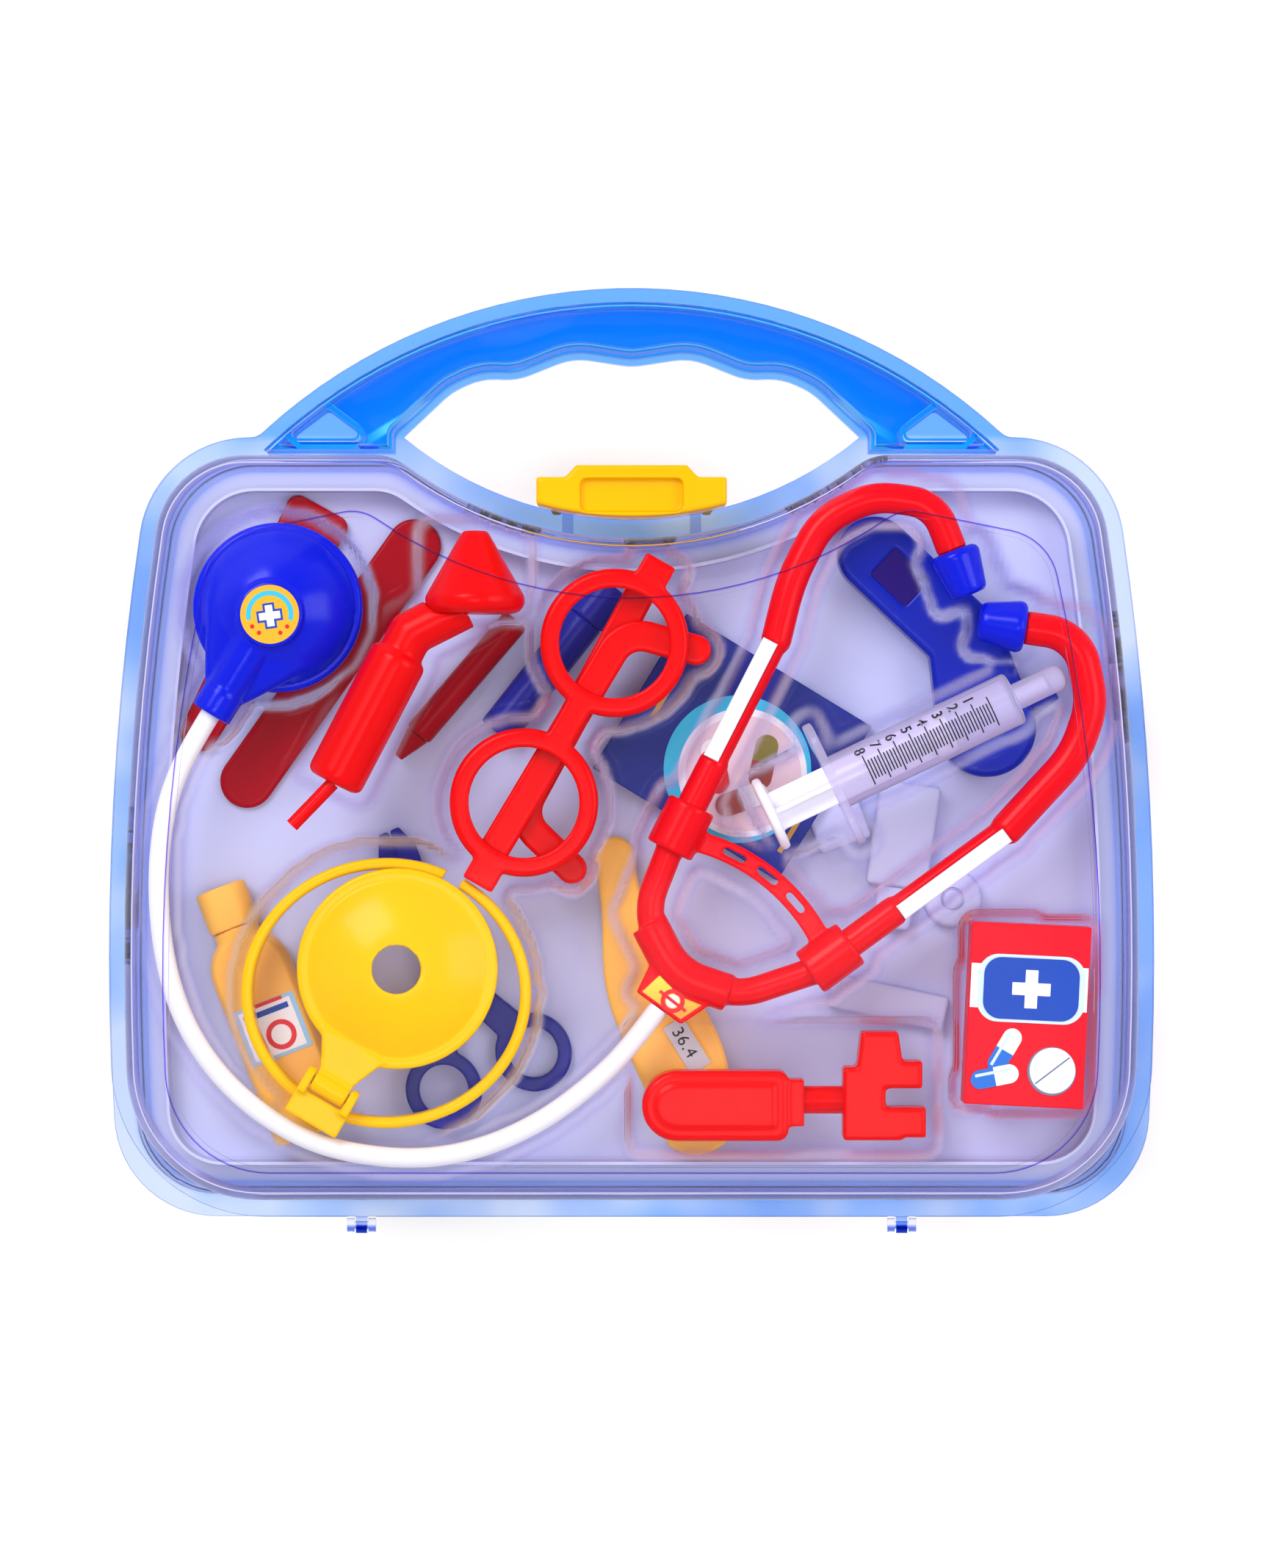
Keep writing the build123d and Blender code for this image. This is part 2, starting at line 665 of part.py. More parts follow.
def make_chestpiece():
    """Dome and neck, the ring under it, the membrane and the round sticker."""
    low = pocket_z
    dome_low = low + chest_base
    ball_r = (dome_r**2 + dome_rise**2) / (2 * dome_rise)
    dome = Pos(0, 0, dome_low + dome_rise - ball_r) * Sphere(ball_r)
    dome &= Pos(0, 0, dome_low + ball_r) * Box(4 * ball_r, 4 * ball_r, 2 * ball_r)
    neck = cone(neck_root_r, neck_r, (8, 0, steth_z), (neck_len - 7, 0, steth_z))
    neck += rod(neck_r + 0.5, (neck_len - 7, 0, steth_z), (neck_len, 0, steth_z))
    neck -= block(2 * neck_len, 4 * neck_r, 0, low + 0.1)
    badge_z = dome_low + dome_rise + badge_rise
    badge = Pos(badge_shift, 0)
    dome += badge * slab(Circle(badge_r), badge_z - badge_depth, badge_z)
    ring = slab(Circle(chest_r), low, dome_low)
    ring = fillet(ring.edges(), 1.2)
    ring -= slab(Circle(membrane_r), low - 1, low + membrane_thick)
    dome = dome + neck - slab(Circle(dome_r), 0, dome_low)
    ring -= dome
    place = Pos(chest_x, chest_y) * Rot(0, 0, chest_turn)
    return {
        "chestpiece_dome": place * dome,
        "chestpiece_ring": place * ring,
        "chestpiece_membrane": place * slab(Circle(membrane_r), low, low + membrane_thick),
        "chestpiece_sticker": place * badge * slab(Circle(sticker_r), badge_z, badge_z + sticker_thick),
    }


def make_tube():
    """The white tube: straight runs joined by arcs as large as their runs allow."""
    points = [Vector(x, y, steth_z) for x, y in tube_route]
    radii = []
    for before, here, after in zip(points, points[1:], points[2:]):
        turn = (here - before).get_angle(after - here)
        run = min((here - before).length, (after - here).length)
        radii.append(0.45 * run / tan(radians(turn / 2)))
    print("tube radii:", [round(r) for r in radii])
    route = FilletPolyline(*points, radius=radii)
    start = Plane(origin=route @ 0, z_dir=route % 0)
    tube = sweep(start * Circle(tube_r), path=route)
    print("tube volume:", round(tube.volume, 1), "of", round(pi * tube_r**2 * route.length, 1))
    return tube


def ring_at(point, turn):
    """A ring of the bridge strap, round the joint between the yoke and an arm."""
    low = (*along(*point, turn, -ring_len / 2), steth_z)
    high = (*along(*point, turn, ring_len / 2), steth_z)
    ring = rod(ring_r, low, high)
    return fillet(ring.edges(), 0.8), low, high


def make_yoke():
    """Bent tube with a thicker middle and the plate for the label; the strap with its rings."""
    yoke = bend(yoke_r, yoke_points, yoke_bends, steth_z)
    yoke += bend(sleeve_r, sleeve_points, yoke_bends[1:2], steth_z)
    for point, turn, end in ((left_ring, left_turn, yoke_points[0]),
                             (right_ring, right_turn, yoke_points[-1])):
        joint = along(*point, turn, -joint_gap)
        mouth = along(*point, turn, -ring_len / 2)
        yoke += rod(arm_r, (*mouth, steth_z), (*joint, steth_z))
        yoke += rod(yoke_r, (*end, steth_z), (*mouth, steth_z)) + Pos(*end, steth_z) * Sphere(yoke_r)
    yoke += slab(make_face(Polyline(*plate_points, close=True)), steth_z - plate_thick / 2,
                 steth_z + plate_thick / 2)
    label = slab(make_face(Polyline(*label_points, close=True)), steth_z + plate_thick / 2,
                 steth_z + plate_thick / 2 + sticker_thick)
    label -= yoke
    strap_line = ThreePointArc(strap_start, strap_middle, strap_end)
    strap = slab(trace(strap_line, strap_width), steth_z - strap_thick / 2, steth_z + strap_thick / 2)
    for share in (0.27, 0.5, 0.73):
        point = strap_line @ share
        way = strap_line % share
        turn = degrees(atan2(way.Y, way.X))
        slot = SlotOverall(slot_len, slot_width)
        strap -= slab(Pos(point.X, point.Y) * Rot(0, 0, turn) * slot, 0, case_depth)
    for point, turn in ((left_ring, left_turn), (right_ring, right_turn)):
        ring, low, high = ring_at(point, turn)
        strap += ring
    for point, turn in ((left_ring, left_turn), (right_ring, right_turn)):
        low = (*along(*point, turn, -ring_len), steth_z)
        high = (*along(*point, turn, ring_len), steth_z)
        strap -= rod(arm_r + ring_play, low, high)
    return {"yoke": yoke, "yoke_label": label, "bridge_strap": strap}


def make_arm(ring, turn, rail, crook, radii, crook_end_r, side):
    """A spring arm: a stub in its ring, a slim rail with a white insert, and the crook."""
    z = steth_z
    arm = rod(arm_r, (*ring, z), (*rail[0], z)) + Pos(*rail[0], z) * Sphere(arm_r)
    arm += rod(rail_r, (*rail[0], z), (*rail[1], z))
    arm += Pos(*rail[1], z) * Sphere(crook_end_r)
    arm += bend(crook_end_r, crook, radii, z)
    middle = along(*rail[0], turn, hypot(rail[1][0] - rail[0][0], rail[1][1] - rail[0][1]) / 2,
                   side * (rail_r - insert_width / 2))
    place = Pos(*middle) * Rot(0, 0, turn)
    top = z + rail_r
    groove = place * block(insert_len + 2 * insert_play, 2 * arm_r, top - insert_depth, top + 5,
                           0, side * (arm_r - insert_width / 2))
    insert = place * block(insert_len, insert_width, top - insert_depth, top + insert_proud)
    upper = insert.edges().group_by(Axis.Z)[-1]
    return arm - groove, fillet(upper, 0.5)


def heading(crook):
    """The way an arm points at its end, in degrees."""
    (x0, y0), (x1, y1) = crook[-2:]
    return degrees(atan2(y1 - y0, x1 - x0))


def make_ear_tip(crook):
    """A blue ear tip, widest where it meets the arm."""
    start = crook[-1]
    end = along(*start, heading(crook), ear_len)
    tip = cone(ear_r, ear_end_r, (*start, steth_z), (*end, steth_z))
    return fillet(tip.edges(), 2.0)


# ================= Otoscope =================
def make_otoscope():
    z = pocket_z + oto_head_r
    base = (oto_head_x, oto_head_y - oto_band_len, z)
    belt = (oto_head_x, oto_head_y, z)
    apex = (oto_head_x, oto_head_y + oto_cone_len, z)
    head = rod(oto_head_r, base, belt) + cone(oto_head_r, 3.4, belt, apex)
    head = fillet(head.edges().group_by(Axis.Y)[0], 3.5)
    head = fillet(head.edges().group_by(Axis.Y)[-1], 1.5)
    foot = along(oto_handle_x, oto_handle_y, oto_turn, -oto_handle_len)
    top = (oto_handle_x, oto_handle_y)
    handle = rod(oto_handle_r, (*foot, z), (*top, z))
    handle = fillet(handle.edges(), 2.4)
    neck_top = (oto_head_x - 3, oto_head_y - oto_band_len + 2)
    neck_bend = along(*top, oto_turn, oto_neck_rise)
    handle += rod(oto_neck_r, (*along(*top, oto_turn, -4), z), (*neck_bend, z))
    handle += Pos(*neck_bend, z) * Sphere(oto_neck_r)
    handle += rod(oto_neck_r, (*neck_bend, z), (*neck_top, z))
    handle -= head
    peg = rod(oto_rod_r, (*foot, z), (*along(*foot, oto_rod_turn, -oto_rod_len), z))
    return {"otoscope_head": head, "otoscope_handle": handle, "otoscope_peg": peg - handle}


# ================= Glasses =================
temple_low_z = pocket_z + 0.2
temple_high_z = temple_low_z + temple_thick + temple_gap
rim_z = temple_high_z + temple_thick + temple_gap
hinge_u = lens_half + rim_r + hinge_block / 2 - 1


def place_glasses():
    return Pos(glasses_x, glasses_y) * Rot(0, 0, glasses_turn)


def temple_path(side):
    """Middle line of a folded side arm, from its hinge to its hooked end."""
    start = hinge_u - glasses_eye_r - temple_gap - temple_width / 2
    bend_u, bend_v = temple_bend
    tip_u, tip_v = temple_tip
    return [(side * start, -bend_v), (-side * bend_u, bend_v), (-side * tip_u, tip_v)]


def make_temple(side, low):
    """A folded side arm, with the eye that turns on its hinge pin."""
    middle = FilletPolyline(*temple_path(side), radius=temple_bend_r)
    arm = slab(trace(middle, temple_width), low, low + temple_thick)
    for end in (0, 1):
        arm += slab(Pos(middle @ end) * Circle(temple_width / 2), low, low + temple_thick)
    arm = fillet(arm.edges().group_by(Axis.Z)[-1], 0.8)
    u = side * hinge_u
    eye_z = low + glasses_eye_r
    half = glasses_eye_width / 2
    arm += rod(glasses_eye_r, (u, -half, eye_z), (u, half, eye_z))
    reach = 2 * glasses_eye_r + 1
    arm += block(reach, glasses_eye_width, low, low + 2 * glasses_eye_r, u - side * reach / 2)
    return arm - rod(glasses_pin_r + glasses_play, (u, -10, eye_z), (u, 10, eye_z))


def make_glasses():
    front = slab(Circle(rim_r), rim_z, rim_z + rim_thick)
    front = fillet(front.edges(), 1.6)
    front -= slab(Circle(rim_hole_r), rim_z - 1, rim_z + rim_thick + 1)
    front = Pos(-lens_half, 0) * front + Pos(lens_half, 0) * front
    gap = 2 * (lens_half - rim_r)
    saddle = block(gap + 5, bridge_width, rim_z, rim_z + rim_thick)
    front += saddle - Pos(-lens_half, 0) * slab(Circle(rim_hole_r), 0, case_depth) - Pos(
        lens_half, 0) * slab(Circle(rim_hole_r), 0, case_depth)
    pins = []
    for side, low in ((-1, temple_high_z), (1, temple_low_z)):
        u = side * hinge_u
        eye_z = low + glasses_eye_r
        front += block(hinge_block, hinge_block_width, rim_z, rim_z + rim_thick, u)
        for edge in (-1, 1):
            inner = edge * (glasses_eye_width / 2 + temple_gap)
            outer = edge * hinge_block_width / 2
            front += block(2 * glasses_eye_r, abs(outer - inner), eye_z, rim_z + 1, u,
                           (inner + outer) / 2)
            front += rod(glasses_eye_r, (u, inner, eye_z), (u, outer, eye_z))
        hole = rod(glasses_pin_r, (u, -10, eye_z), (u, 10, eye_z))
        front -= hole
        half = hinge_block_width / 2
        pins.append(rod(glasses_pin_r, (u, -half, eye_z), (u, half, eye_z)))
    place = place_glasses()
    return {
        "glasses_front": place * front,
        "glasses_hinge_pins": place * (pins[0] + pins[1]),
        "glasses_temple_left": place * make_temple(-1, temple_high_z),
        "glasses_temple_right": place * make_temple(1, temple_low_z),
    }


# ================= Head mirror =================
def band_face(outset, inset):
    """Plan of the head band's ring, thicker or thinner by the given amounts."""
    ring = Ellipse(band_a + outset, band_b + outset)
    return ring - Ellipse(band_a - band_thick - inset, band_b - band_thick - inset)


def make_head_mirror():
    """Everything is laid out from the middle of the band, with the clamp along +X."""
    to_frame = Rot(0, 0, -mirror_turn) * Pos(-band_x, -band_y)
    centre = to_frame * Pos(mirror_x, mirror_y)
    cx = centre.position.X
    cy = centre.position.Y
    ball_r = (mirror_r**2 + mirror_rise**2) / (2 * mirror_rise)
    ball_z = mirror_z + mirror_rise - ball_r
    dome = Pos(0, 0, ball_z) * Sphere(ball_r) - Pos(0, 0, ball_z) * Sphere(ball_r - mirror_thick)
    dome &= Pos(0, 0, mirror_z + 50) * Box(200, 200, 100)
    dome -= slab(Circle(mirror_hole_r), 0, case_depth)
    slim_x = mirror_pivot - mirror_eye_r - 1
    half = mirror_eye_width / 2
    neck_plan = make_face(Polyline((cx + mirror_r - 4, cy - 10), (slim_x, -half), (mirror_pivot, -half),
                                   (mirror_pivot, half), (slim_x, half), (cx + mirror_r - 4, cy + 10),
                                   close=True))
    neck = slab(neck_plan, mirror_z, mirror_z + mirror_eye_r)
    eye = rod(mirror_eye_r, (mirror_pivot, -mirror_eye_width / 2, mirror_pivot_z),
              (mirror_pivot, mirror_eye_width / 2, mirror_pivot_z))
    mirror_disc = Pos(cx, cy) * dome + neck + eye
    mirror_disc -= Pos(cx, cy) * Pos(0, 0, ball_z) * Sphere(ball_r - mirror_thick)
    mirror_disc -= rod(mirror_pin_r + mirror_play, (mirror_pivot, -20, mirror_pivot_z),
                       (mirror_pivot, 20, mirror_pivot_z))
    ear_in = mirror_eye_width / 2 + clamp_gap
    clamp = block(clamp_end - clamp_start, 2 * clamp_half, pocket_z, clamp_top,
                  (clamp_start + clamp_end) / 2)
    for side in (-1, 1):
        near = side * ear_in
        far = side * (ear_in + clamp_ear)
        clamp += rod(mirror_eye_r + 0.2, (mirror_pivot, near, mirror_pivot_z),
                     (mirror_pivot, far, mirror_pivot_z))
        clamp += block(clamp_start + 1 - mirror_pivot, clamp_ear, mirror_pivot_z - mirror_eye_r - 0.2,
                       mirror_pivot_z + mirror_eye_r + 0.2, (clamp_start + 1 + mirror_pivot) / 2,
                       (near + far) / 2)
    pin = rod(mirror_pin_r, (mirror_pivot, -ear_in - clamp_ear, mirror_pivot_z),
              (mirror_pivot, ear_in + clamp_ear, mirror_pivot_z))
    clamp -= pin
    upright = Rot(0, 0, -mirror_turn)
    clamp -= upright * slab(band_face(0.05, 0.05), pocket_z - 1, pocket_z + band_height + 0.1)
    band = slab(band_face(0, 0), pocket_z, pocket_z + band_height)
    band = fillet(band.edges().group_by(Axis.Z)[-1], 1.0)
    gap = Rot(0, 0, 180 + mirror_turn) * Pos(band_a, 0, pocket_z) * Box(20, band_gap, 3 * band_height)
    place = Pos(band_x, band_y) * Rot(0, 0, mirror_turn)
    return {
        "mirror_disc": place * mirror_disc,
        "mirror_clamp": place * clamp,
        "mirror_pin": place * pin,
        "mirror_band": Pos(band_x, band_y) * (band - gap),
    }


# ================= Syringe =================
syringe_z = pocket_z + thumb_r


def make_syringe():
    """Laid out along +X from the finger flange, then turned into place."""
    barrel = rod(barrel_r, (0, 0, 0), (barrel_len, 0, 0))
    barrel = fillet(barrel.edges().group_by(Axis.X)[-1], 1.2)
    flange = Plane.YZ * SlotOverall(grip_len, 2 * barrel_r)
    barrel += fillet(extrude(flange, amount=grip_thick).edges(), 0.7)
    barrel += rod(spout_r, (barrel_len - 1, 0, 0), (barrel_len + spout_len, 0, 0))
    barrel -= rod(bore_r, (-1, 0, 0), (barrel_len - 2, 0, 0))
    cap = rod(nozzle_r, (barrel_len, 0, 0), (barrel_len + nozzle_len, 0, 0))
    cap = fillet(cap.edges().group_by(Axis.X)[-1], 2.6)
    cap -= rod(spout_r + cap_play, (barrel_len - 1, 0, 0), (barrel_len + spout_len + 0.2, 0, 0))
    thumb = rod(thumb_r, (-plunger_out - thumb_thick, 0, 0), (-plunger_out, 0, 0))
    thumb = fillet(thumb.edges(), 1.0)
    stem_len = plunger_out + piston_at - piston_len
    stem = Box(stem_len + 1, rod_width, rod_web) + Box(stem_len + 1, rod_web, rod_width)
    plunger = thumb + Pos(piston_at - piston_len - stem_len / 2, 0, 0) * stem
    spigot = rod(2.4, (piston_at - piston_len, 0, 0), (piston_at - 2, 0, 0))
    plunger += spigot
    piston = rod(bore_r - piston_play, (piston_at - piston_len + 0.5, 0, 0), (piston_at, 0, 0))
    piston -= plunger
    place = Pos(syringe_x, syringe_y, syringe_z) * Rot(0, 0, syringe_turn)
    return {
        "syringe_barrel": place * barrel,
        "syringe_cap": place * cap,
        "syringe_plunger": place * plunger,
        "syringe_piston": place * piston,
    }


# ================= Reflex hammer =================
def make_hammer():
    top = pocket_z + hammer_thick
    middle_z = pocket_z + hammer_thick / 2
    handle_end = hammer_x + hammer_handle_len
    half = hammer_handle_width / 2
    grip = make_face([
        Line((handle_end, hammer_y - half), (handle_end, hammer_y + half)),
        Line((handle_end, hammer_y + half), (hammer_x + half, hammer_y + half)),
        ThreePointArc((hammer_x + half, hammer_y + half), (hammer_x, hammer_y),
                      (hammer_x + half, hammer_y - half)),
        Line((hammer_x + half, hammer_y - half), (handle_end, hammer_y - half)),
    ])
    right = [v for v in grip.vertices() if v.X > handle_end - 1]
    grip = fillet(right, 3)
    handle = slab(grip, pocket_z, top)
    handle = fillet(handle.edges().group_by(Axis.Z)[0] + handle.edges().group_by(Axis.Z)[-1], 1.6)
    handle += slab(offset(grip, amount=-grip_border), top - 1, top + grip_rise)
    handle += block(collar_len, collar_width, pocket_z + 0.5, top - 1, handle_end + collar_len / 2,
                    hammer_y + 0.8)
    shaft_y = hammer_y + 1.4
    shaft_start = handle_end + collar_len
    head_x = shaft_start + shaft_len
    hole = rod(shaft_r, (shaft_start - shaft_socket, shaft_y, middle_z),
               (head_x + shaft_tip, shaft_y, middle_z))
    head_top = hammer_y + 0.6 + hammer_head_height / 2
    head_low = head_top - hammer_head_height
    right_x = head_x + hammer_head_width
    boss_left = head_x + boss_inset
    points = [
        (head_x, head_low), (head_x, head_top), (boss_left, head_top),
        (boss_left + (boss_base - boss_top) / 2, head_top + boss_height),
        (boss_left + (boss_base + boss_top) / 2, head_top + boss_height),
        (boss_left + boss_base, head_top + 1.6),
        (right_x + tab_len - 1, head_top + 1.6), (right_x + tab_len - 1, head_top + 1.6 - tab_width),
        (right_x - tab_notch, head_top + 1.6 - tab_width),
        (right_x - tab_notch, head_low + tab_width + 1.6),
        (right_x + tab_len, head_low + tab_width + 1.6), (right_x + tab_len, head_low + 0.8),
        (right_x, head_low + 0.8), (right_x, head_low),
    ]
    plan = make_face(Polyline(*points, close=True))
    head = slab(plan, pocket_z, top)
    head = fillet(head.edges().group_by(Axis.Z)[-1], 0.8)
    return {"hammer_handle": handle - hole, "hammer_shaft": hole, "hammer_head": head - hole}


# ================= Boxes, bottle and thermometer =================
def make_carton(x, y, turn, width, height, low, depth):
    """A closed card box with slightly soft edges."""
    return Pos(x, y, low) * Rot(0, 0, turn) * fillet(
        block(width, height, 0, depth).edges(), 0.4)


def make_bottle():
    """Laid out along +X from the top of the cap."""
    cap_end = bottle_cap_len
    neck_end_x = cap_end + bottle_neck_len
    body_x = neck_end_x + bottle_shoulder
    cap = rod(bottle_cap_r, (0, 0, 0), (cap_end, 0, 0))
    cap = fillet(cap.edges().group_by(Axis.X)[0], 1.2)
    profile = make_face([
        *Polyline((cap_end, 0), (cap_end, bottle_neck_r), (neck_end_x, bottle_neck_r)).edges(),
        ThreePointArc((neck_end_x, bottle_neck_r), (neck_end_x + bottle_shoulder * 0.42,
                      bottle_r * 0.88), (body_x, bottle_r)),
        *Polyline((body_x, bottle_r), (bottle_len, bottle_r), (bottle_len, 0), (cap_end, 0)).edges(),
    ])
    body = revolve(profile, axis=Axis.X)
    body = fillet(body.edges().group_by(Axis.X)[-1], 1.6)
    body &= Box(4 * bottle_len, 4 * bottle_r, bottle_thick)
    cap &= Box(4 * bottle_len, 4 * bottle_r, bottle_thick)
    label = Pos(body_x + bottle_label_at + bottle_label_len / 2, 0, bottle_thick / 2 + label_thick / 2) * Box(
        bottle_label_len, 2 * bottle_r * 0.78, label_thick)
    place = Pos(bottle_x, bottle_y, floor_z + bottle_thick / 2) * Rot(0, 0, bottle_turn)
    return {"bottle_body": place * body, "bottle_cap": place * cap, "bottle_label": place * label}


def make_thermometer():
    """A curved flat body with a narrow end and a display let into its front."""
    top = floor_z + thermo_thick
    plan = make_face([
        ThreePointArc(*thermo_top),
        Spline(thermo_top[-1], *thermo_right, thermo_base[0]),
        ThreePointArc(*thermo_base),
        Spline(thermo_base[-1], *thermo_left, thermo_top[0]),
    ])
    body = slab(plan, floor_z, top)
    body = fillet(body.edges().group_by(Axis.Z)[-1], thermo_edge_r)
    recess = Pos(*display_at) * Rot(0, 0, display_turn)
    body -= recess * block(display_len, display_width, top - display_depth, top + 1)
    display = recess * block(display_len, display_width, top - display_depth, top)
    return {"thermometer_body": body, "thermometer_display": display}


# ================= Scissors =================
def make_scissor_half(low):
    """The half with its finger loop to the right, laid out along +X from the loops' middle."""
    loop = Pos(0, -loop_spread) * Ellipse(loop_out, loop_out * loop_squeeze)
    shank = make_face(Polyline((3, 5 - loop_spread), (9, -loop_spread - 2), (pivot_at - 3, -3.6),
                               (pivot_at + 3, 3.8), (pivot_at - 6, 3.0), close=True))
    blade = make_face(Polyline((pivot_at - 4, -4.2), (scissors_len, 0.4), (scissors_len, 3.0),
                               (scissors_len - 6, 5.6), (pivot_at - 4, 4.2), close=True))
    plan = loop + shank + blade + Pos(pivot_at, 0) * Circle(5.0)
    plan -= Pos(0, -loop_spread) * Ellipse(loop_in, loop_in * loop_squeeze)
    plan -= Pos(pivot_at, 0) * Circle(rivet_r + rivet_play)
    return slab(plan, low, low + blade_thick)


def make_scissors():
    low = floor_z + rivet_head
    second = low + blade_thick + blade_gap
    top = second + blade_thick
    rivet = slab(Circle(rivet_r), floor_z, top + rivet_head)
    rivet += slab(Circle(rivet_head_r), floor_z, floor_z + rivet_head - 0.05)
    rivet += slab(Circle(rivet_head_r), top + 0.1, top + 0.1 + rivet_head)
    place = Pos(scissors_x, scissors_y) * Rot(0, 0, scissors_turn)
    return {
        "scissors_lower_half": place * make_scissor_half(low),
        "scissors_upper_half": place * mirror(make_scissor_half(second), about=Plane.XZ),
        "scissors_rivet": place * Pos(pivot_at, 0) * rivet,
    }


# ================= Flat tools of the back layer =================
def make_flat_tools():
    depressor = slab(strip([depressor_from, depressor_to], depressor_width), floor_z,
                     floor_z + depressor_thick)
    depressor = fillet(depressor.edges().group_by(Axis.Z)[-1], 0.7)
    (x0, y0), (x1, y1) = spatula_from, spatula_to
    turn = degrees(atan2(y1 - y0, x1 - x0))
    length = hypot(x1 - x0, y1 - y0)
    plan = make_face(Polyline((0, -spatula_tip_width / 2), (length, -spatula_end_width / 2),
                              (length, spatula_end_width / 2), (0, spatula_tip_width / 2), close=True))
    plan = fillet(plan.vertices(), 3.5)
    spatula = Pos(x0, y0) * Rot(0, 0, turn) * slab(plan, floor_z, floor_z + spatula_thick)
    return {"tongue_depressor": depressor, "spatula": spatula}


def make_probe():
    """A slim red handle with a clear tip."""
    z = floor_z + probe_r
    low = Vector(*probe_from, z)
    high = Vector(*probe_to, z)
    handle = rod(probe_r, low, high)
    handle = fillet(handle.edges(), 1.2)
    tip = cone(probe_r - 0.6, 1.2, low, low + (low - high).normalized() * probe_tip_len)
    return {"probe_handle": handle, "probe_tip": tip}


def make_torch():
    """A navy pen torch with its head at the upper end."""
    z = floor_z + torch_r
    low = Vector(*torch_from, z)
    high = Vector(*torch_to, z)
    split = high + (low - high).normalized() * torch_cap_len
    body = rod(torch_r - 0.5, low, split)
    body = fillet(body.edges().group_by(Axis.Y)[0], 0.6)
    head = rod(torch_r, split, high)
    lens = cone(torch_r - 1.4, torch_r - 1.9, high, high + (high - low).normalized() * 1.2)
    return {"torch_body": body, "torch_head": head, "torch_lens": lens}


def make_ear_scope():
    """A bent blue body with a dark window, a round end and a short probe."""
    top = floor_z + scope_thick
    (x0, y0), (x1, y1) = scope_from, scope_bend
    turn = degrees(atan2(y1 - y0, x1 - x0))
    bend_disc = Pos(*scope_bend) * Circle(scope_width / 2)
    upper = Pos(*scope_from) * Circle(scope_width / 2) + bend_disc
    lower = Pos(*scope_to) * Circle(scope_disc_r) + bend_disc
    plan = make_hull(upper.edges()) + make_hull(lower.edges())
    body = slab(plan, floor_z, top)
    body = fillet(body.edges().group_by(Axis.Z)[-1], 1.4)
    middle_z = floor_z + scope_thick / 2
    probe = cone(scope_probe_r, scope_probe_r - 1.2, (*scope_to, middle_z), (*scope_probe_to, middle_z))
    probe -= body
    place = Pos(x0, y0) * Rot(0, 0, turn)
    window = place * block(scope_window_len, scope_window_width, top - 1, top, scope_window_at)
    return {"scope_body": body - window, "scope_window": window, "scope_probe": probe}


# ================= Trays =================
def rectangle_at(x, y, turn, length, width):
    return Pos(x, y) * Rot(0, 0, turn) * Rectangle(length, width)


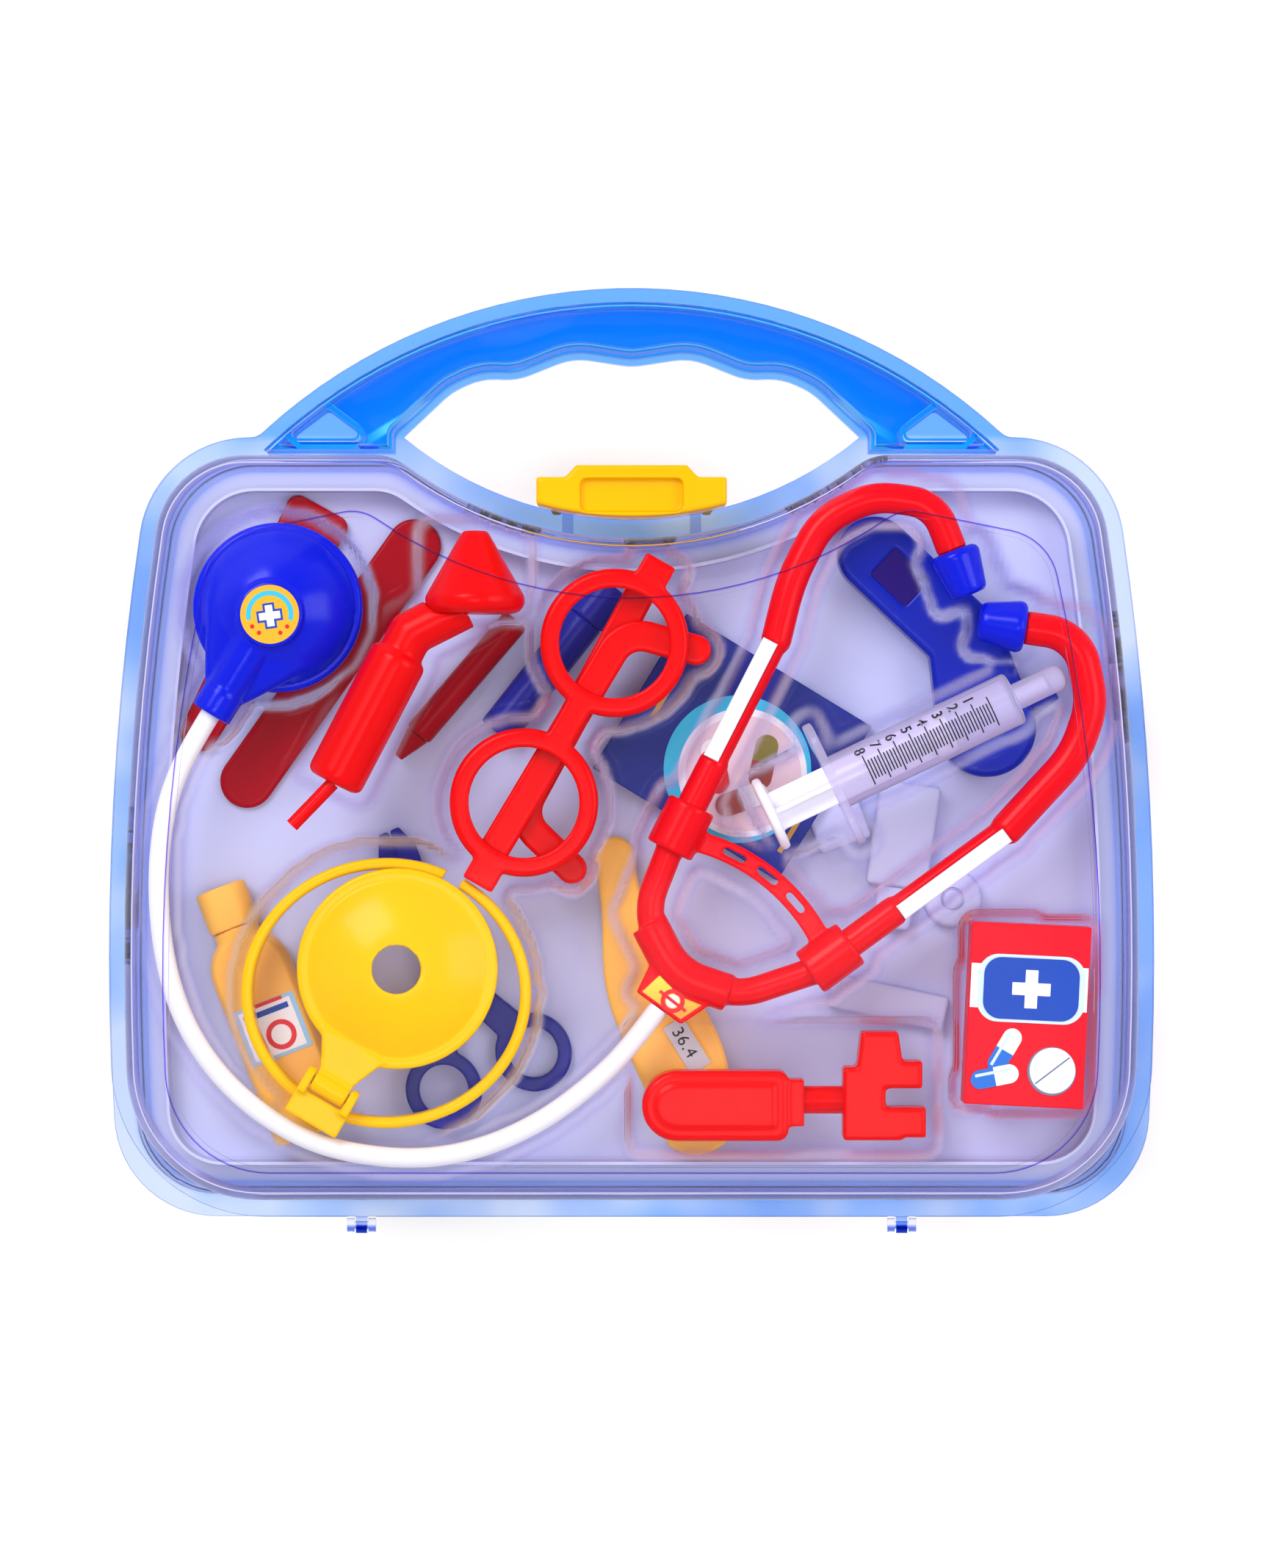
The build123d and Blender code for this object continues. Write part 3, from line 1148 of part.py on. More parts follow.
def pockets():
    """Plan and floor height of each pocket of the front tray."""
    m = pocket_margin
    chest_neck = along(chest_x, chest_y, chest_turn, neck_len / 2 + 3)
    oto_end = along(oto_handle_x, oto_handle_y, oto_turn, -oto_handle_len)
    oto_middle = along(oto_handle_x, oto_handle_y, oto_turn, -oto_handle_len / 2)
    oto_neck = (oto_head_x - 2, oto_head_y - 2)
    oto_neck_bend = along(oto_handle_x, oto_handle_y, oto_turn, oto_neck_rise)
    barrel = along(syringe_x, syringe_y, syringe_turn, barrel_len / 2)
    nozzle = along(syringe_x, syringe_y, syringe_turn, barrel_len + nozzle_len / 2)
    grip = along(syringe_x, syringe_y, syringe_turn, grip_thick / 2)
    thumb = along(syringe_x, syringe_y, syringe_turn, -plunger_out / 2 - thumb_thick / 2)
    left_tip = along(*left_crook[-1], heading(left_crook), ear_len / 2)
    right_tip = along(*right_crook[-1], heading(right_crook), ear_len / 2)
    rims = [along(glasses_x, glasses_y, glasses_turn, side * lens_half) for side in (-1, 1)]
    clamp = along(band_x, band_y, mirror_turn, (mirror_pivot + clamp_end) / 2 - 1)
    steth_low = steth_z - sleeve_r
    hammer_len = hammer_handle_len + collar_len + shaft_len + hammer_head_width + tab_len
    hammer_high = hammer_head_height / 2 + boss_height
    hammer_low = hammer_handle_width / 2
    hammer = (hammer_x + hammer_len / 2, hammer_y + (hammer_high - hammer_low) / 2)
    deep = pocket_z
    return [
        (Pos(chest_x, chest_y) * Circle(chest_r + m), deep),
        (rectangle_at(*chest_neck, chest_turn, neck_len + 4, 2 * neck_r + 2 * m), steth_z - neck_r - 0.6),
        (strip(tube_route, tube_d + 1.0), steth_z - tube_r - 0.05),
        (strip(yoke_points, 2 * sleeve_r + 2 * m), steth_low),
        (offset(make_face(Polyline(*plate_points, close=True)), amount=m), steth_low),
        (rectangle_at(*left_ring, left_turn, ring_len + 2 * m, 2 * ring_r + 2 * m), steth_z - ring_r),
        (rectangle_at(*right_ring, right_turn, ring_len + 2 * m, 2 * ring_r + 2 * m), steth_z - ring_r),
        (strip([strap_start, strap_middle, strap_end], strap_width + 3 * m), steth_low),
        (strip([left_ring, *left_crook], 2 * arm_r + 2 * m), steth_z - arm_spread_r),
        (strip([right_ring, *right_crook], 2 * arm_spread_r + 2 * m), steth_z - arm_spread_r),
        (rectangle_at(*left_tip, heading(left_crook), ear_len + 2 * m, 2 * ear_r + 2 * m), deep),
        (rectangle_at(*right_tip, heading(right_crook), ear_len + 2 * m, 2 * ear_r + 2 * m), deep),
        (Pos(oto_head_x, oto_head_y + 7) * Rectangle(2 * oto_head_r + m, 25), deep),
        (strip([oto_neck, oto_neck_bend, (oto_handle_x, oto_handle_y)], 2 * oto_handle_r),
         deep + oto_head_r - oto_handle_r),
        (rectangle_at(*oto_middle, oto_turn, oto_handle_len + 2 * m, 2 * oto_handle_r + 2 * m),
         deep + oto_head_r - oto_handle_r),
        (strip([oto_end, along(*oto_end, oto_rod_turn, -oto_rod_len)], 2 * oto_rod_r + 2 * m),
         deep + oto_head_r - oto_rod_r),
        (Pos(*rims[0]) * Circle(rim_r + m), deep),
        (Pos(*rims[1]) * Circle(rim_r + m), deep),
        (rectangle_at(glasses_x, glasses_y, glasses_turn, 2 * hinge_u + hinge_block + 3 * m, 14), deep),
        (Pos(band_x, band_y) * Circle(band_a + 0.8), deep),
        (rectangle_at(*clamp, mirror_turn, clamp_end - mirror_pivot + 8, 2 * clamp_half + m), deep),
        (rectangle_at(*barrel, syringe_turn, barrel_len + m, 2 * barrel_r + m), syringe_z - barrel_r),
        (rectangle_at(*nozzle, syringe_turn, nozzle_len + m, 2 * nozzle_r + 2 * m), syringe_z - barrel_r),
        (rectangle_at(*grip, syringe_turn, grip_thick + 2 * m, grip_len + 2 * m), syringe_z - barrel_r),
        (rectangle_at(*thumb, syringe_turn, plunger_out + thumb_thick + 2 * m, 2 * thumb_r + m), deep),
        (Pos(*hammer) * Rectangle(hammer_len + 3 * m, hammer_high + hammer_low + 3 * m), deep),
        *[(place_glasses() * strip(temple_path(side), temple_width + m), deep) for side in (-1, 1)],
        (rectangle_at(carton_x, carton_y, carton_turn, carton_width + m, carton_height + m), deep),
    ]


def make_trays():
    inner = tub_face(back_corner_r, flange_width + wall + tray_gap)
    lining = offset(inner, amount=-cup_thick)
    sheet = slab(tub_face(back_corner_r, flange_width), parting_z - tray_thick, parting_z)
    cups = None
    hollows = None
    for plan, floor in pockets():
        cup = slab(offset(plan, amount=cup_thick) & inner, floor - cup_thick, parting_z - tray_thick / 2)
        hollow = slab(plan & lining, floor, parting_z + 1)
        cups = cup if cups is None else cups + cup
        hollows = hollow if hollows is None else hollows + hollow
    front_tray = sheet + cups - hollows
    rear_outer = tub_face(back_corner_r, rear_tray_inset)
    rear_tray = slab(rear_outer, wall, wall + rear_tray_height)
    rear_tray -= slab(offset(rear_outer, amount=-tray_thick), floor_z, 2 * rear_tray_height)
    return {"front_tray": front_tray, "rear_tray": rear_tray}


# ================= Write every piece =================
def make_all():
    parts = {
        "back_shell": make_back_shell(),
        "front_cover": make_front_cover(),
        "latch": make_latch(),
        "stethoscope_tube": make_tube(),
    }
    parts.update(make_trays())
    parts.update(make_chestpiece())
    parts.update(make_yoke())
    left, left_insert = make_arm(left_ring, left_turn, left_rail, left_crook, left_crook_r, arm_r, 1)
    right, right_insert = make_arm(right_ring, right_turn, right_rail, right_crook, right_crook_r,
                                   arm_spread_r, -1)
    parts["left_arm"] = left
    parts["left_arm_insert"] = left_insert
    parts["right_arm"] = right
    parts["right_arm_insert"] = right_insert
    parts["left_ear_tip"] = make_ear_tip(left_crook)
    parts["right_ear_tip"] = make_ear_tip(right_crook)
    parts.update(make_otoscope())
    parts.update(make_glasses())
    parts.update(make_head_mirror())
    parts.update(make_syringe())
    parts.update(make_hammer())
    parts["medicine_box"] = make_carton(carton_x, carton_y, carton_turn, carton_width, carton_height,
                                        pocket_z, carton_depth)
    parts["card_box"] = make_carton(card_x, card_y, card_turn, card_width, card_height, floor_z,
                                    card_depth)
    parts.update(make_bottle())
    parts.update(make_thermometer())
    parts.update(make_scissors())
    parts.update(make_flat_tools())
    parts.update(make_probe())
    parts.update(make_torch())
    parts.update(make_ear_scope())
    return parts


os.makedirs("parts", exist_ok=True)
for node, solid in make_all().items():
    export_step(solid, f"parts/{node}.step")
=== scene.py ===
from math import cos, pi, radians, sin

import bmesh
import bpy
from mathutils import Matrix, Vector
from mathutils.bvhtree import BVHTree


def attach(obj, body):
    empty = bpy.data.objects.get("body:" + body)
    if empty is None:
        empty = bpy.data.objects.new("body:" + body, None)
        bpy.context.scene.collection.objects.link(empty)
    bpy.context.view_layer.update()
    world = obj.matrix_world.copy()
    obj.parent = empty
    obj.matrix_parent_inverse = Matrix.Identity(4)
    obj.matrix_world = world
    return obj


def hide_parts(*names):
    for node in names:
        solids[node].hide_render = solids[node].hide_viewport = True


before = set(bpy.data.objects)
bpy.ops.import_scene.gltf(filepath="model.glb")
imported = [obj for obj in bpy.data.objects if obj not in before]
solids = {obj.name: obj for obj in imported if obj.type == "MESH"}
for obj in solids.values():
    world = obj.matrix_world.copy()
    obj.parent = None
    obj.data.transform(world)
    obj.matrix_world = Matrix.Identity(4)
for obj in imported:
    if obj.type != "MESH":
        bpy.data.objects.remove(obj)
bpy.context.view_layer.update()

# ---------------- Camera ----------------
# The case lies on its back and is looked at straight from above, from far enough away that
# its upright walls show as thin lines.
view_from = Vector((0.0016, -0.0063, 1.532))
view_height = 0.427
parting = 0.032
lens_data = bpy.data.cameras.new("camera")
lens_data.sensor_fit = "VERTICAL"
lens_data.sensor_height = 36.0
lens_data.lens = 36.0 * (view_from.z - parting) / view_height
camera = bpy.data.objects.new("camera", lens_data)
camera.location = view_from
bpy.context.scene.collection.objects.link(camera)
bpy.context.scene.camera = camera


# ---------------- Stethoscope: the soft tube ----------------
# White vinyl tube, 5.5 mm thick. It leaves the neck of the chestpiece, follows the wall of
# the case round its lower corner and ends against the plate of the yoke.
def srgb(red, green, blue):
    """A colour in linear light from its everyday 0 to 255 numbers."""
    def channel(value):
        share = value / 255
        return share / 12.92 if share <= 0.04045 else ((share + 0.055) / 1.055) ** 2.4
    return (channel(red), channel(green), channel(blue), 1.0)


def node_of(tree, kind, **inputs):
    """A shader node with its input sockets set or linked by name."""
    made = tree.nodes.new(kind)
    for name, value in inputs.items():
        socket = made.inputs[name.replace("_", " ")]
        if isinstance(value, bpy.types.NodeSocket):
            tree.links.new(value, socket)
        else:
            socket.default_value = value
    return made


def moulding_marks():
    """Group for the slight unevenness of a moulded surface: colour, shine and a fine bump."""
    group = bpy.data.node_groups.new("moulding_marks", "ShaderNodeTree")
    for name, kind in (("Colour", "NodeSocketColor"), ("Shade", "NodeSocketColor"),
                       ("Shine low", "NodeSocketFloat"), ("Shine high", "NodeSocketFloat"),
                       ("Cloud scale", "NodeSocketFloat"), ("Grain scale", "NodeSocketFloat"),
                       ("Grain depth", "NodeSocketFloat")):
        group.interface.new_socket(name, in_out="INPUT", socket_type=kind)
    for name, kind in (("Colour", "NodeSocketColor"), ("Roughness", "NodeSocketFloat"),
                       ("Normal", "NodeSocketVector")):
        group.interface.new_socket(name, in_out="OUTPUT", socket_type=kind)
    given = group.nodes.new("NodeGroupInput").outputs
    result = group.nodes.new("NodeGroupOutput").inputs
    place = group.nodes.new("ShaderNodeTexCoord").outputs["Object"]
    cloud = node_of(group, "ShaderNodeTexNoise", Vector=place, Scale=given["Cloud scale"], Detail=3.0)
    grain = node_of(group, "ShaderNodeTexNoise", Vector=place, Scale=given["Grain scale"], Detail=2.0)
    tint = group.nodes.new("ShaderNodeMix")
    tint.data_type = "RGBA"
    group.links.new(cloud.outputs["Fac"], tint.inputs[0])
    group.links.new(given["Shade"], tint.inputs[6])
    group.links.new(given["Colour"], tint.inputs[7])
    shine = node_of(group, "ShaderNodeMapRange", Value=grain.outputs["Fac"])
    group.links.new(given["Shine low"], shine.inputs["To Min"])
    group.links.new(given["Shine high"], shine.inputs["To Max"])
    bump = node_of(group, "ShaderNodeBump", Strength=0.4, Height=grain.outputs["Fac"])
    group.links.new(given["Grain depth"], bump.inputs["Distance"])
    group.links.new(tint.outputs[2], result["Colour"])
    group.links.new(shine.outputs["Result"], result["Roughness"])
    group.links.new(bump.outputs["Normal"], result["Normal"])
    return group


marks = moulding_marks()


def marked(tree, colour, shade, shine, cloud=25.0, grain=900.0, depth=0.000008):
    """The unevenness group placed in a material with its own values."""
    placed = tree.nodes.new("ShaderNodeGroup")
    placed.node_tree = marks
    for name, value in (("Colour", colour), ("Shade", shade), ("Shine low", shine[0]),
                        ("Shine high", shine[1]), ("Cloud scale", cloud), ("Grain scale", grain),
                        ("Grain depth", depth)):
        if isinstance(value, bpy.types.NodeSocket):
            tree.links.new(value, placed.inputs[name])
        else:
            placed.inputs[name].default_value = value
    return placed.outputs


def new_material(name):
    """An empty material and its node tree."""
    material = bpy.data.materials.new(name)
    material.use_nodes = True
    material.node_tree.nodes.clear()
    return material, material.node_tree


def moulded(name, colour, shade, shine=(0.2, 0.3), gloss=0.25, **detail):
    """Opaque moulded plastic."""
    material, tree = new_material(name)
    skin = marked(tree, colour, shade, shine, **detail)
    body = node_of(tree, "ShaderNodeBsdfPrincipled", Base_Color=skin["Colour"],
                   Roughness=skin["Roughness"], Normal=skin["Normal"], Specular_IOR_Level=gloss)
    node_of(tree, "ShaderNodeOutputMaterial", Surface=body.outputs["BSDF"])
    return material


tube_diameter = 0.0055
tube_height = 0.0275
tube_route = [
    (-0.1150, 0.0128), (-0.12138, 0.00252), (-0.1268, -0.0105), (-0.1292, -0.0255),
    (-0.1292, -0.0415), (-0.1270, -0.0575), (-0.1218, -0.0725), (-0.1130, -0.0858),
    (-0.1012, -0.0966), (-0.0868, -0.1046), (-0.0704, -0.1082), (-0.0540, -0.1086),
    (-0.0384, -0.1050), (-0.0238, -0.0980), (-0.0112, -0.0886), (-0.0006, -0.0785),
    (0.0074, -0.0675),
]
tube_line = bpy.data.curves.new("stethoscope_tube_soft", "CURVE")
tube_line.dimensions = "3D"
tube_line.bevel_depth = tube_diameter / 2
tube_line.bevel_resolution = 6
tube_line.resolution_u = 10
tube_spline = tube_line.splines.new("NURBS")
tube_spline.points.add(len(tube_route) - 1)
for point, (x, y) in zip(tube_spline.points, tube_route):
    point.co = (x, y, tube_height, 1.0)
tube_spline.order_u = 3
tube_spline.use_endpoint_u = True
tube = bpy.data.objects.new("stethoscope_tube_soft", tube_line)
bpy.context.scene.collection.objects.link(tube)
white_vinyl = moulded("white_vinyl", srgb(245, 243, 247), srgb(236, 233, 242), (0.32, 0.42))
tube_line.materials.append(white_vinyl)
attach(tube, "case")
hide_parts("stethoscope_tube")


# ---------------- Floor and light ----------------
# A plain white table under the case and soft light from large lamps overhead. The lamp
# beside the camera shows as a pale haze in the lower half of the flat cover.
floor_mesh = bmesh.new()
bmesh.ops.create_grid(floor_mesh, x_segments=1, y_segments=1, size=4.0)
floor_data = bpy.data.meshes.new("floor")
floor_mesh.to_mesh(floor_data)
floor_mesh.free()
floor = bpy.data.objects.new("floor", floor_data)
bpy.context.scene.collection.objects.link(floor)
floor_paint, floor_tree = new_material("white_floor")
floor_body = node_of(floor_tree, "ShaderNodeBsdfPrincipled", Base_Color=(0.80, 0.80, 0.81, 1.0),
                     Roughness=0.9)
floor_glow = node_of(floor_tree, "ShaderNodeEmission", Color=(1.0, 1.0, 1.0, 1.0), Strength=0.06)
floor_seen = floor_tree.nodes.new("ShaderNodeLightPath").outputs
floor_lift = node_of(floor_tree, "ShaderNodeMixShader", Fac=floor_seen["Is Camera Ray"])
floor_sum = node_of(floor_tree, "ShaderNodeAddShader")
floor_tree.links.new(floor_glow.outputs[0], floor_lift.inputs[2])
floor_tree.links.new(floor_body.outputs[0], floor_sum.inputs[0])
floor_tree.links.new(floor_lift.outputs[0], floor_sum.inputs[1])
node_of(floor_tree, "ShaderNodeOutputMaterial", Surface=floor_sum.outputs[0])
floor_data.materials.append(floor_paint)


def lamp(name, place, size, power, aim=(0.0, 0.0, 0.03)):
    """A square softbox that faces a point."""
    data = bpy.data.lights.new(name, "AREA")
    data.shape = "RECTANGLE"
    data.size, data.size_y = size
    data.energy = power
    made = bpy.data.objects.new(name, data)
    made.location = place
    made.rotation_euler = (Vector(aim) - Vector(place)).to_track_quat("-Z", "Y").to_euler()
    bpy.context.scene.collection.objects.link(made)


lamp("key_lamp", (-0.75, 0.95, 1.6), (0.9, 0.9), 21.0)
lamp("side_lamp", (1.25, 0.1, 1.2), (0.9, 0.9), 9.0)
lamp("haze_lamp", (0.0, -0.22, 1.62), (0.62, 0.34), 3.0, (0.0, -0.22, 0.0))

world = bpy.data.worlds.new("studio")
world.use_nodes = True
world.node_tree.nodes.clear()
seen = world.node_tree.nodes.new("ShaderNodeLightPath").outputs
sight = node_of(world.node_tree, "ShaderNodeMath")
sight.operation = "MAXIMUM"
world.node_tree.links.new(seen["Is Camera Ray"], sight.inputs[0])
world.node_tree.links.new(seen["Is Glossy Ray"], sight.inputs[1])
through = node_of(world.node_tree, "ShaderNodeMath")
through.operation = "MAXIMUM"
world.node_tree.links.new(sight.outputs[0], through.inputs[0])
world.node_tree.links.new(seen["Is Transmission Ray"], through.inputs[1])
aloft = node_of(world.node_tree, "ShaderNodeSeparateXYZ",
                Vector=world.node_tree.nodes.new("ShaderNodeTexCoord").outputs["Generated"])
plain = node_of(world.node_tree, "ShaderNodeMapRange", Value=aloft.outputs["Z"], From_Min=0.35, From_Max=0.85,
                To_Min=1.0, To_Max=0.25)
level = node_of(world.node_tree, "ShaderNodeMapRange", Value=through.outputs[0], To_Min=0.62,
                To_Max=plain.outputs["Result"])
sky = node_of(world.node_tree, "ShaderNodeBackground", Color=(1.0, 1.0, 1.0, 1.0),
              Strength=level.outputs["Result"])
node_of(world.node_tree, "ShaderNodeOutputWorld", Surface=sky.outputs["Background"])
bpy.context.scene.world = world
bpy.context.scene.view_settings.view_transform = "Standard"


# ---------------- Back shell ----------------
# The lower half of the case, moulded in translucent blue plastic with its half of the
# handle. The handle's channel is ribbed and double-walled, so its blue looks much deeper,
# and a pale streak painted along it stands for a glint.
def between(tree, low_mask, high_mask, mask):
    """One colour or another by a mask; either colour may be a socket."""
    mixed = tree.nodes.new("ShaderNodeMix")
    mixed.data_type = "RGBA"
    tree.links.new(mask, mixed.inputs[0])
    for value, socket in ((low_mask, mixed.inputs[6]), (high_mask, mixed.inputs[7])):
        if isinstance(value, bpy.types.NodeSocket):
            tree.links.new(value, socket)
        else:
            socket.default_value = value
    return mixed.outputs[2]


def rising(tree, value, low, high):
    """A mask that rises from 0 to 1 between two values."""
    return node_of(tree, "ShaderNodeMapRange", Value=value, From_Min=low, From_Max=high).outputs["Result"]


def product(tree, one, other):
    """Two masks multiplied."""
    both = node_of(tree, "ShaderNodeMath")
    both.operation = "MULTIPLY"
    tree.links.new(one, both.inputs[0])
    tree.links.new(other, both.inputs[1])
    return both.outputs[0]


def band_of(tree, value, middle, half):
    """A mask that rises to 1 in the middle of a band of a value and falls again."""
    return product(tree, rising(tree, value, middle - half, middle - half / 2),
                   rising(tree, value, middle + half, middle + half / 2))


def distance_from(tree, where, centre_y):
    """How far a place lies from the upright line at x = 0 and the given y, and its offset."""
    offset = node_of(tree, "ShaderNodeVectorMath", Vector=where)
    offset.operation = "SUBTRACT"
    offset.inputs[1].default_value = (0.0, centre_y, 0.0)
    flat = node_of(tree, "ShaderNodeVectorMath")
    flat.operation = "MULTIPLY"
    tree.links.new(offset.outputs[0], flat.inputs[0])
    flat.inputs[1].default_value = (1.0, 1.0, 0.0)
    reach = node_of(tree, "ShaderNodeVectorMath")
    reach.operation = "LENGTH"
    tree.links.new(flat.outputs[0], reach.inputs[0])
    return reach.outputs["Value"], offset.outputs[0]


def clear_plastic(name, tint, edge_tint, haze, haze_share, edge=0.3, clearness=0.001, tints=None):
    """See-through plastic: clear where it lies flat, with more sheen and haze where it slants."""
    material, tree = new_material(name)
    skin = marked(tree, haze, haze, (0.06, 0.12), grain=260.0, depth=0.00002)
    slant = node_of(tree, "ShaderNodeLayerWeight", Blend=edge)
    milk = skin["Colour"]
    if tints:
        tint, edge_tint, milk = tints(tree, milk)
    colour = between(tree, tint, edge_tint, slant.outputs["Facing"])
    clear = node_of(tree, "ShaderNodeBsdfTransparent", Color=colour)
    body = node_of(tree, "ShaderNodeBsdfPrincipled", Base_Color=milk, Roughness=skin["Roughness"],
                   Normal=skin["Normal"])
    share = node_of(tree, "ShaderNodeMapRange", Value=slant.outputs["Facing"], From_Max=1.0,
                    To_Min=clearness, To_Max=haze_share)
    share.interpolation_type = "SMOOTHERSTEP"
    seen_through = node_of(tree, "ShaderNodeMixShader", Fac=share.outputs[0])
    tree.links.new(clear.outputs[0], seen_through.inputs[1])
    tree.links.new(body.outputs["BSDF"], seen_through.inputs[2])
    gloss = node_of(tree, "ShaderNodeBsdfGlossy", Color=(1.0, 1.0, 1.0, 1.0), Roughness=0.08)
    mirror = node_of(tree, "ShaderNodeFresnel", IOR=1.08)
    shown = node_of(tree, "ShaderNodeMixShader", Fac=mirror.outputs[0])
    tree.links.new(seen_through.outputs[0], shown.inputs[1])
    tree.links.new(gloss.outputs[0], shown.inputs[2])
    node_of(tree, "ShaderNodeOutputMaterial", Surface=shown.outputs[0])
    return material


def paint(material, *names, clear=False):
    """Gives CAD nodes their material. Clear ones let the lamps' light straight through."""
    for name in names:
        mesh = solids[name].data
        mesh.materials.clear()
        mesh.materials.append(material)
        if clear:
            solids[name].visible_shadow = False
            solids[name].visible_diffuse = False


def piece_of(name, shape, materials, body="case", smooth=False, place=None):
    """Ends a modelled shape: faces outward, in its place, painted and riding on a body."""
    bmesh.ops.remove_doubles(shape, verts=shape.verts, dist=0.000001)
    bmesh.ops.recalc_face_normals(shape, faces=shape.faces)
    if place is not None:
        bmesh.ops.transform(shape, matrix=place, verts=shape.verts)
    mesh = bpy.data.meshes.new(name)
    shape.to_mesh(mesh)
    shape.free()
    for material in materials:
        mesh.materials.append(material)
    if smooth:
        mesh.shade_smooth()
    made = bpy.data.objects.new(name, mesh)
    bpy.context.scene.collection.objects.link(made)
    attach(made, body)
    return made


def rounded(name, node, material, body, edge, sharp=0.6):
    """A moulded shell worked from its solid, with every edge sharper than an angle rounded over."""
    shape = bmesh.new()
    shape.from_mesh(solids[node].data)
    bmesh.ops.remove_doubles(shape, verts=shape.verts, dist=0.00001)
    bmesh.ops.dissolve_degenerate(shape, edges=shape.edges, dist=0.00001)
    corners = [item for item in shape.edges if item.calc_face_angle(0.0) > sharp]
    bmesh.ops.bevel(shape, geom=corners, offset=edge, segments=2, profile=0.5, affect="EDGES", material=-1,
                    clamp_overlap=True)
    made = piece_of(name, shape, [material], body, smooth=True)
    made.data.set_sharp_from_angle(angle=radians(50.0))
    made.visible_shadow = False
    made.visible_diffuse = False
    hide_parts(node)
    return made


flange_low = 0.0295
handle_start = 0.083
body_top = 0.088
handle_centre_y = -0.0193
handle_inner_r = 0.1190
handle_outer_r = 0.1425
# Radius and half width of the painted glint along the handle's channel.
channel_glint_r = 0.1295
channel_glint_half = 0.0016
hook_start = -0.1262


def shell_tints(tree, milk):
    """Sky blue rim, pale walls and floor, and the deep blue of the handle's channel, with a painted glint
    streaking along it.
    """
    where = tree.nodes.new("ShaderNodeTexCoord").outputs["Object"]
    place = node_of(tree, "ShaderNodeSeparateXYZ", Vector=where).outputs
    reach, offset = distance_from(tree, where, handle_centre_y)
    rim = rising(tree, place["Z"], flange_low - 0.0002, flange_low + 0.0002)
    handle = rising(tree, place["Y"], handle_start - 0.0005, handle_start + 0.0005)
    above_body = rising(tree, place["Y"], body_top - 0.0010, body_top + 0.0010)
    hooks = rising(tree, place["Y"], hook_start, hook_start - 0.0010)
    outward = rising(tree, reach, handle_inner_r, handle_outer_r)
    channel = between(tree, (0.030, 0.520, 0.998, 1.0), (0.006, 0.400, 0.975, 1.0), outward)
    patches = node_of(tree, "ShaderNodeTexNoise", Vector=offset, Scale=22.0, Detail=2.0)
    # A pale cyan streak in patches along the middle of the channel: a painted glint.
    painted_glint = product(tree, band_of(tree, reach, channel_glint_r, channel_glint_half),
                     rising(tree, patches.outputs["Fac"], 0.46, 0.62))
    channel = between(tree, channel, (0.30, 0.80, 0.998, 1.0), painted_glint)
    walls = between(tree, (0.78, 0.80, 0.94, 1.0), channel, handle)
    clouded = between(tree, (0.82, 0.88, 1.0, 1.0), (0.50, 0.68, 1.0, 1.0),
                      rising(tree, patches.outputs["Fac"], 0.40, 0.60))
    rims = between(tree, clouded, (0.40, 0.67, 0.97, 1.0), above_body)
    steep = between(tree, (0.30, 0.42, 0.88, 1.0), (0.02, 0.30, 0.92, 1.0), handle)
    deep = (0.05, 0.16, 0.70, 1.0)
    level = between(tree, between(tree, walls, rims, rim), deep, hooks)
    return level, between(tree, steep, deep, hooks), milk


shell_blue = clear_plastic("shell_blue", None, None, srgb(90, 165, 255), 0.30, tints=shell_tints)
rounded("back_shell_soft", "back_shell", shell_blue, "case", 0.0005)


# ---------------- Front cover ----------------
# The upper half of the case, clear with a faint violet cast, hinged on the lugs along its
# lower edge. Its flange is thicker than its panel and looks greyer.
def cover_tints(tree, milk):
    """Almost colourless on its flat faces, with a violet cast in the steep walls, a violet
    line round the raised panel and a painted reflection of the latch's yellow in the wall of the hollow."""
    where = tree.nodes.new("ShaderNodeTexCoord").outputs["Object"]
    place = node_of(tree, "ShaderNodeSeparateXYZ", Vector=where).outputs
    above_flange = rising(tree, place["Z"], cover_flange_top, cover_flange_top + 0.0004)
    near_panel = rising(tree, place["Z"], panel_low - 0.0004, panel_low)
    facing = node_of(tree, "ShaderNodeSeparateXYZ",
                     Vector=tree.nodes.new("ShaderNodeTexCoord").outputs["Normal"]).outputs["Z"]
    upright = node_of(tree, "ShaderNodeMath", Value=facing)
    upright.operation = "ABSOLUTE"
    slanting = rising(tree, upright.outputs[0], 0.99, 0.93)
    hooks = rising(tree, place["Y"], hook_start, hook_start - 0.0010)
    reach = distance_from(tree, where, notch_centre_y)[0]
    # A band of the hollow's wall round the latch takes the latch's yellow: a painted reflection.
    latch_reflection = product(tree, band_of(tree, reach, latch_reflection_r, latch_reflection_half),
                   band_of(tree, place["X"], 0.0, latch_reflection_reach))
    level = between(tree, (0.95, 0.97, 1.0, 1.0), (0.99, 0.985, 1.0, 1.0), above_flange)
    step = band_of(tree, place["Z"], panel_step_middle, panel_step_half)
    level = between(tree, level, (0.14, 0.05, 0.84, 1.0), step)
    milk = between(tree, milk, srgb(92, 52, 220), step)
    level = between(tree, level, (1.0, 0.95, 0.84, 1.0), latch_reflection)
    steep = between(tree, (0.60, 0.62, 0.90, 1.0), (0.44, 0.38, 0.88, 1.0), above_flange)
    steep = between(tree, steep, (0.22, 0.08, 0.78, 1.0), near_panel)
    steep = between(tree, steep, (1.0, 0.50, 0.05, 1.0), latch_reflection)
    steep = between(tree, (0.84, 0.86, 0.98, 1.0), steep, slanting)
    return between(tree, level, (0.30, 0.42, 0.92, 1.0), hooks), steep, milk


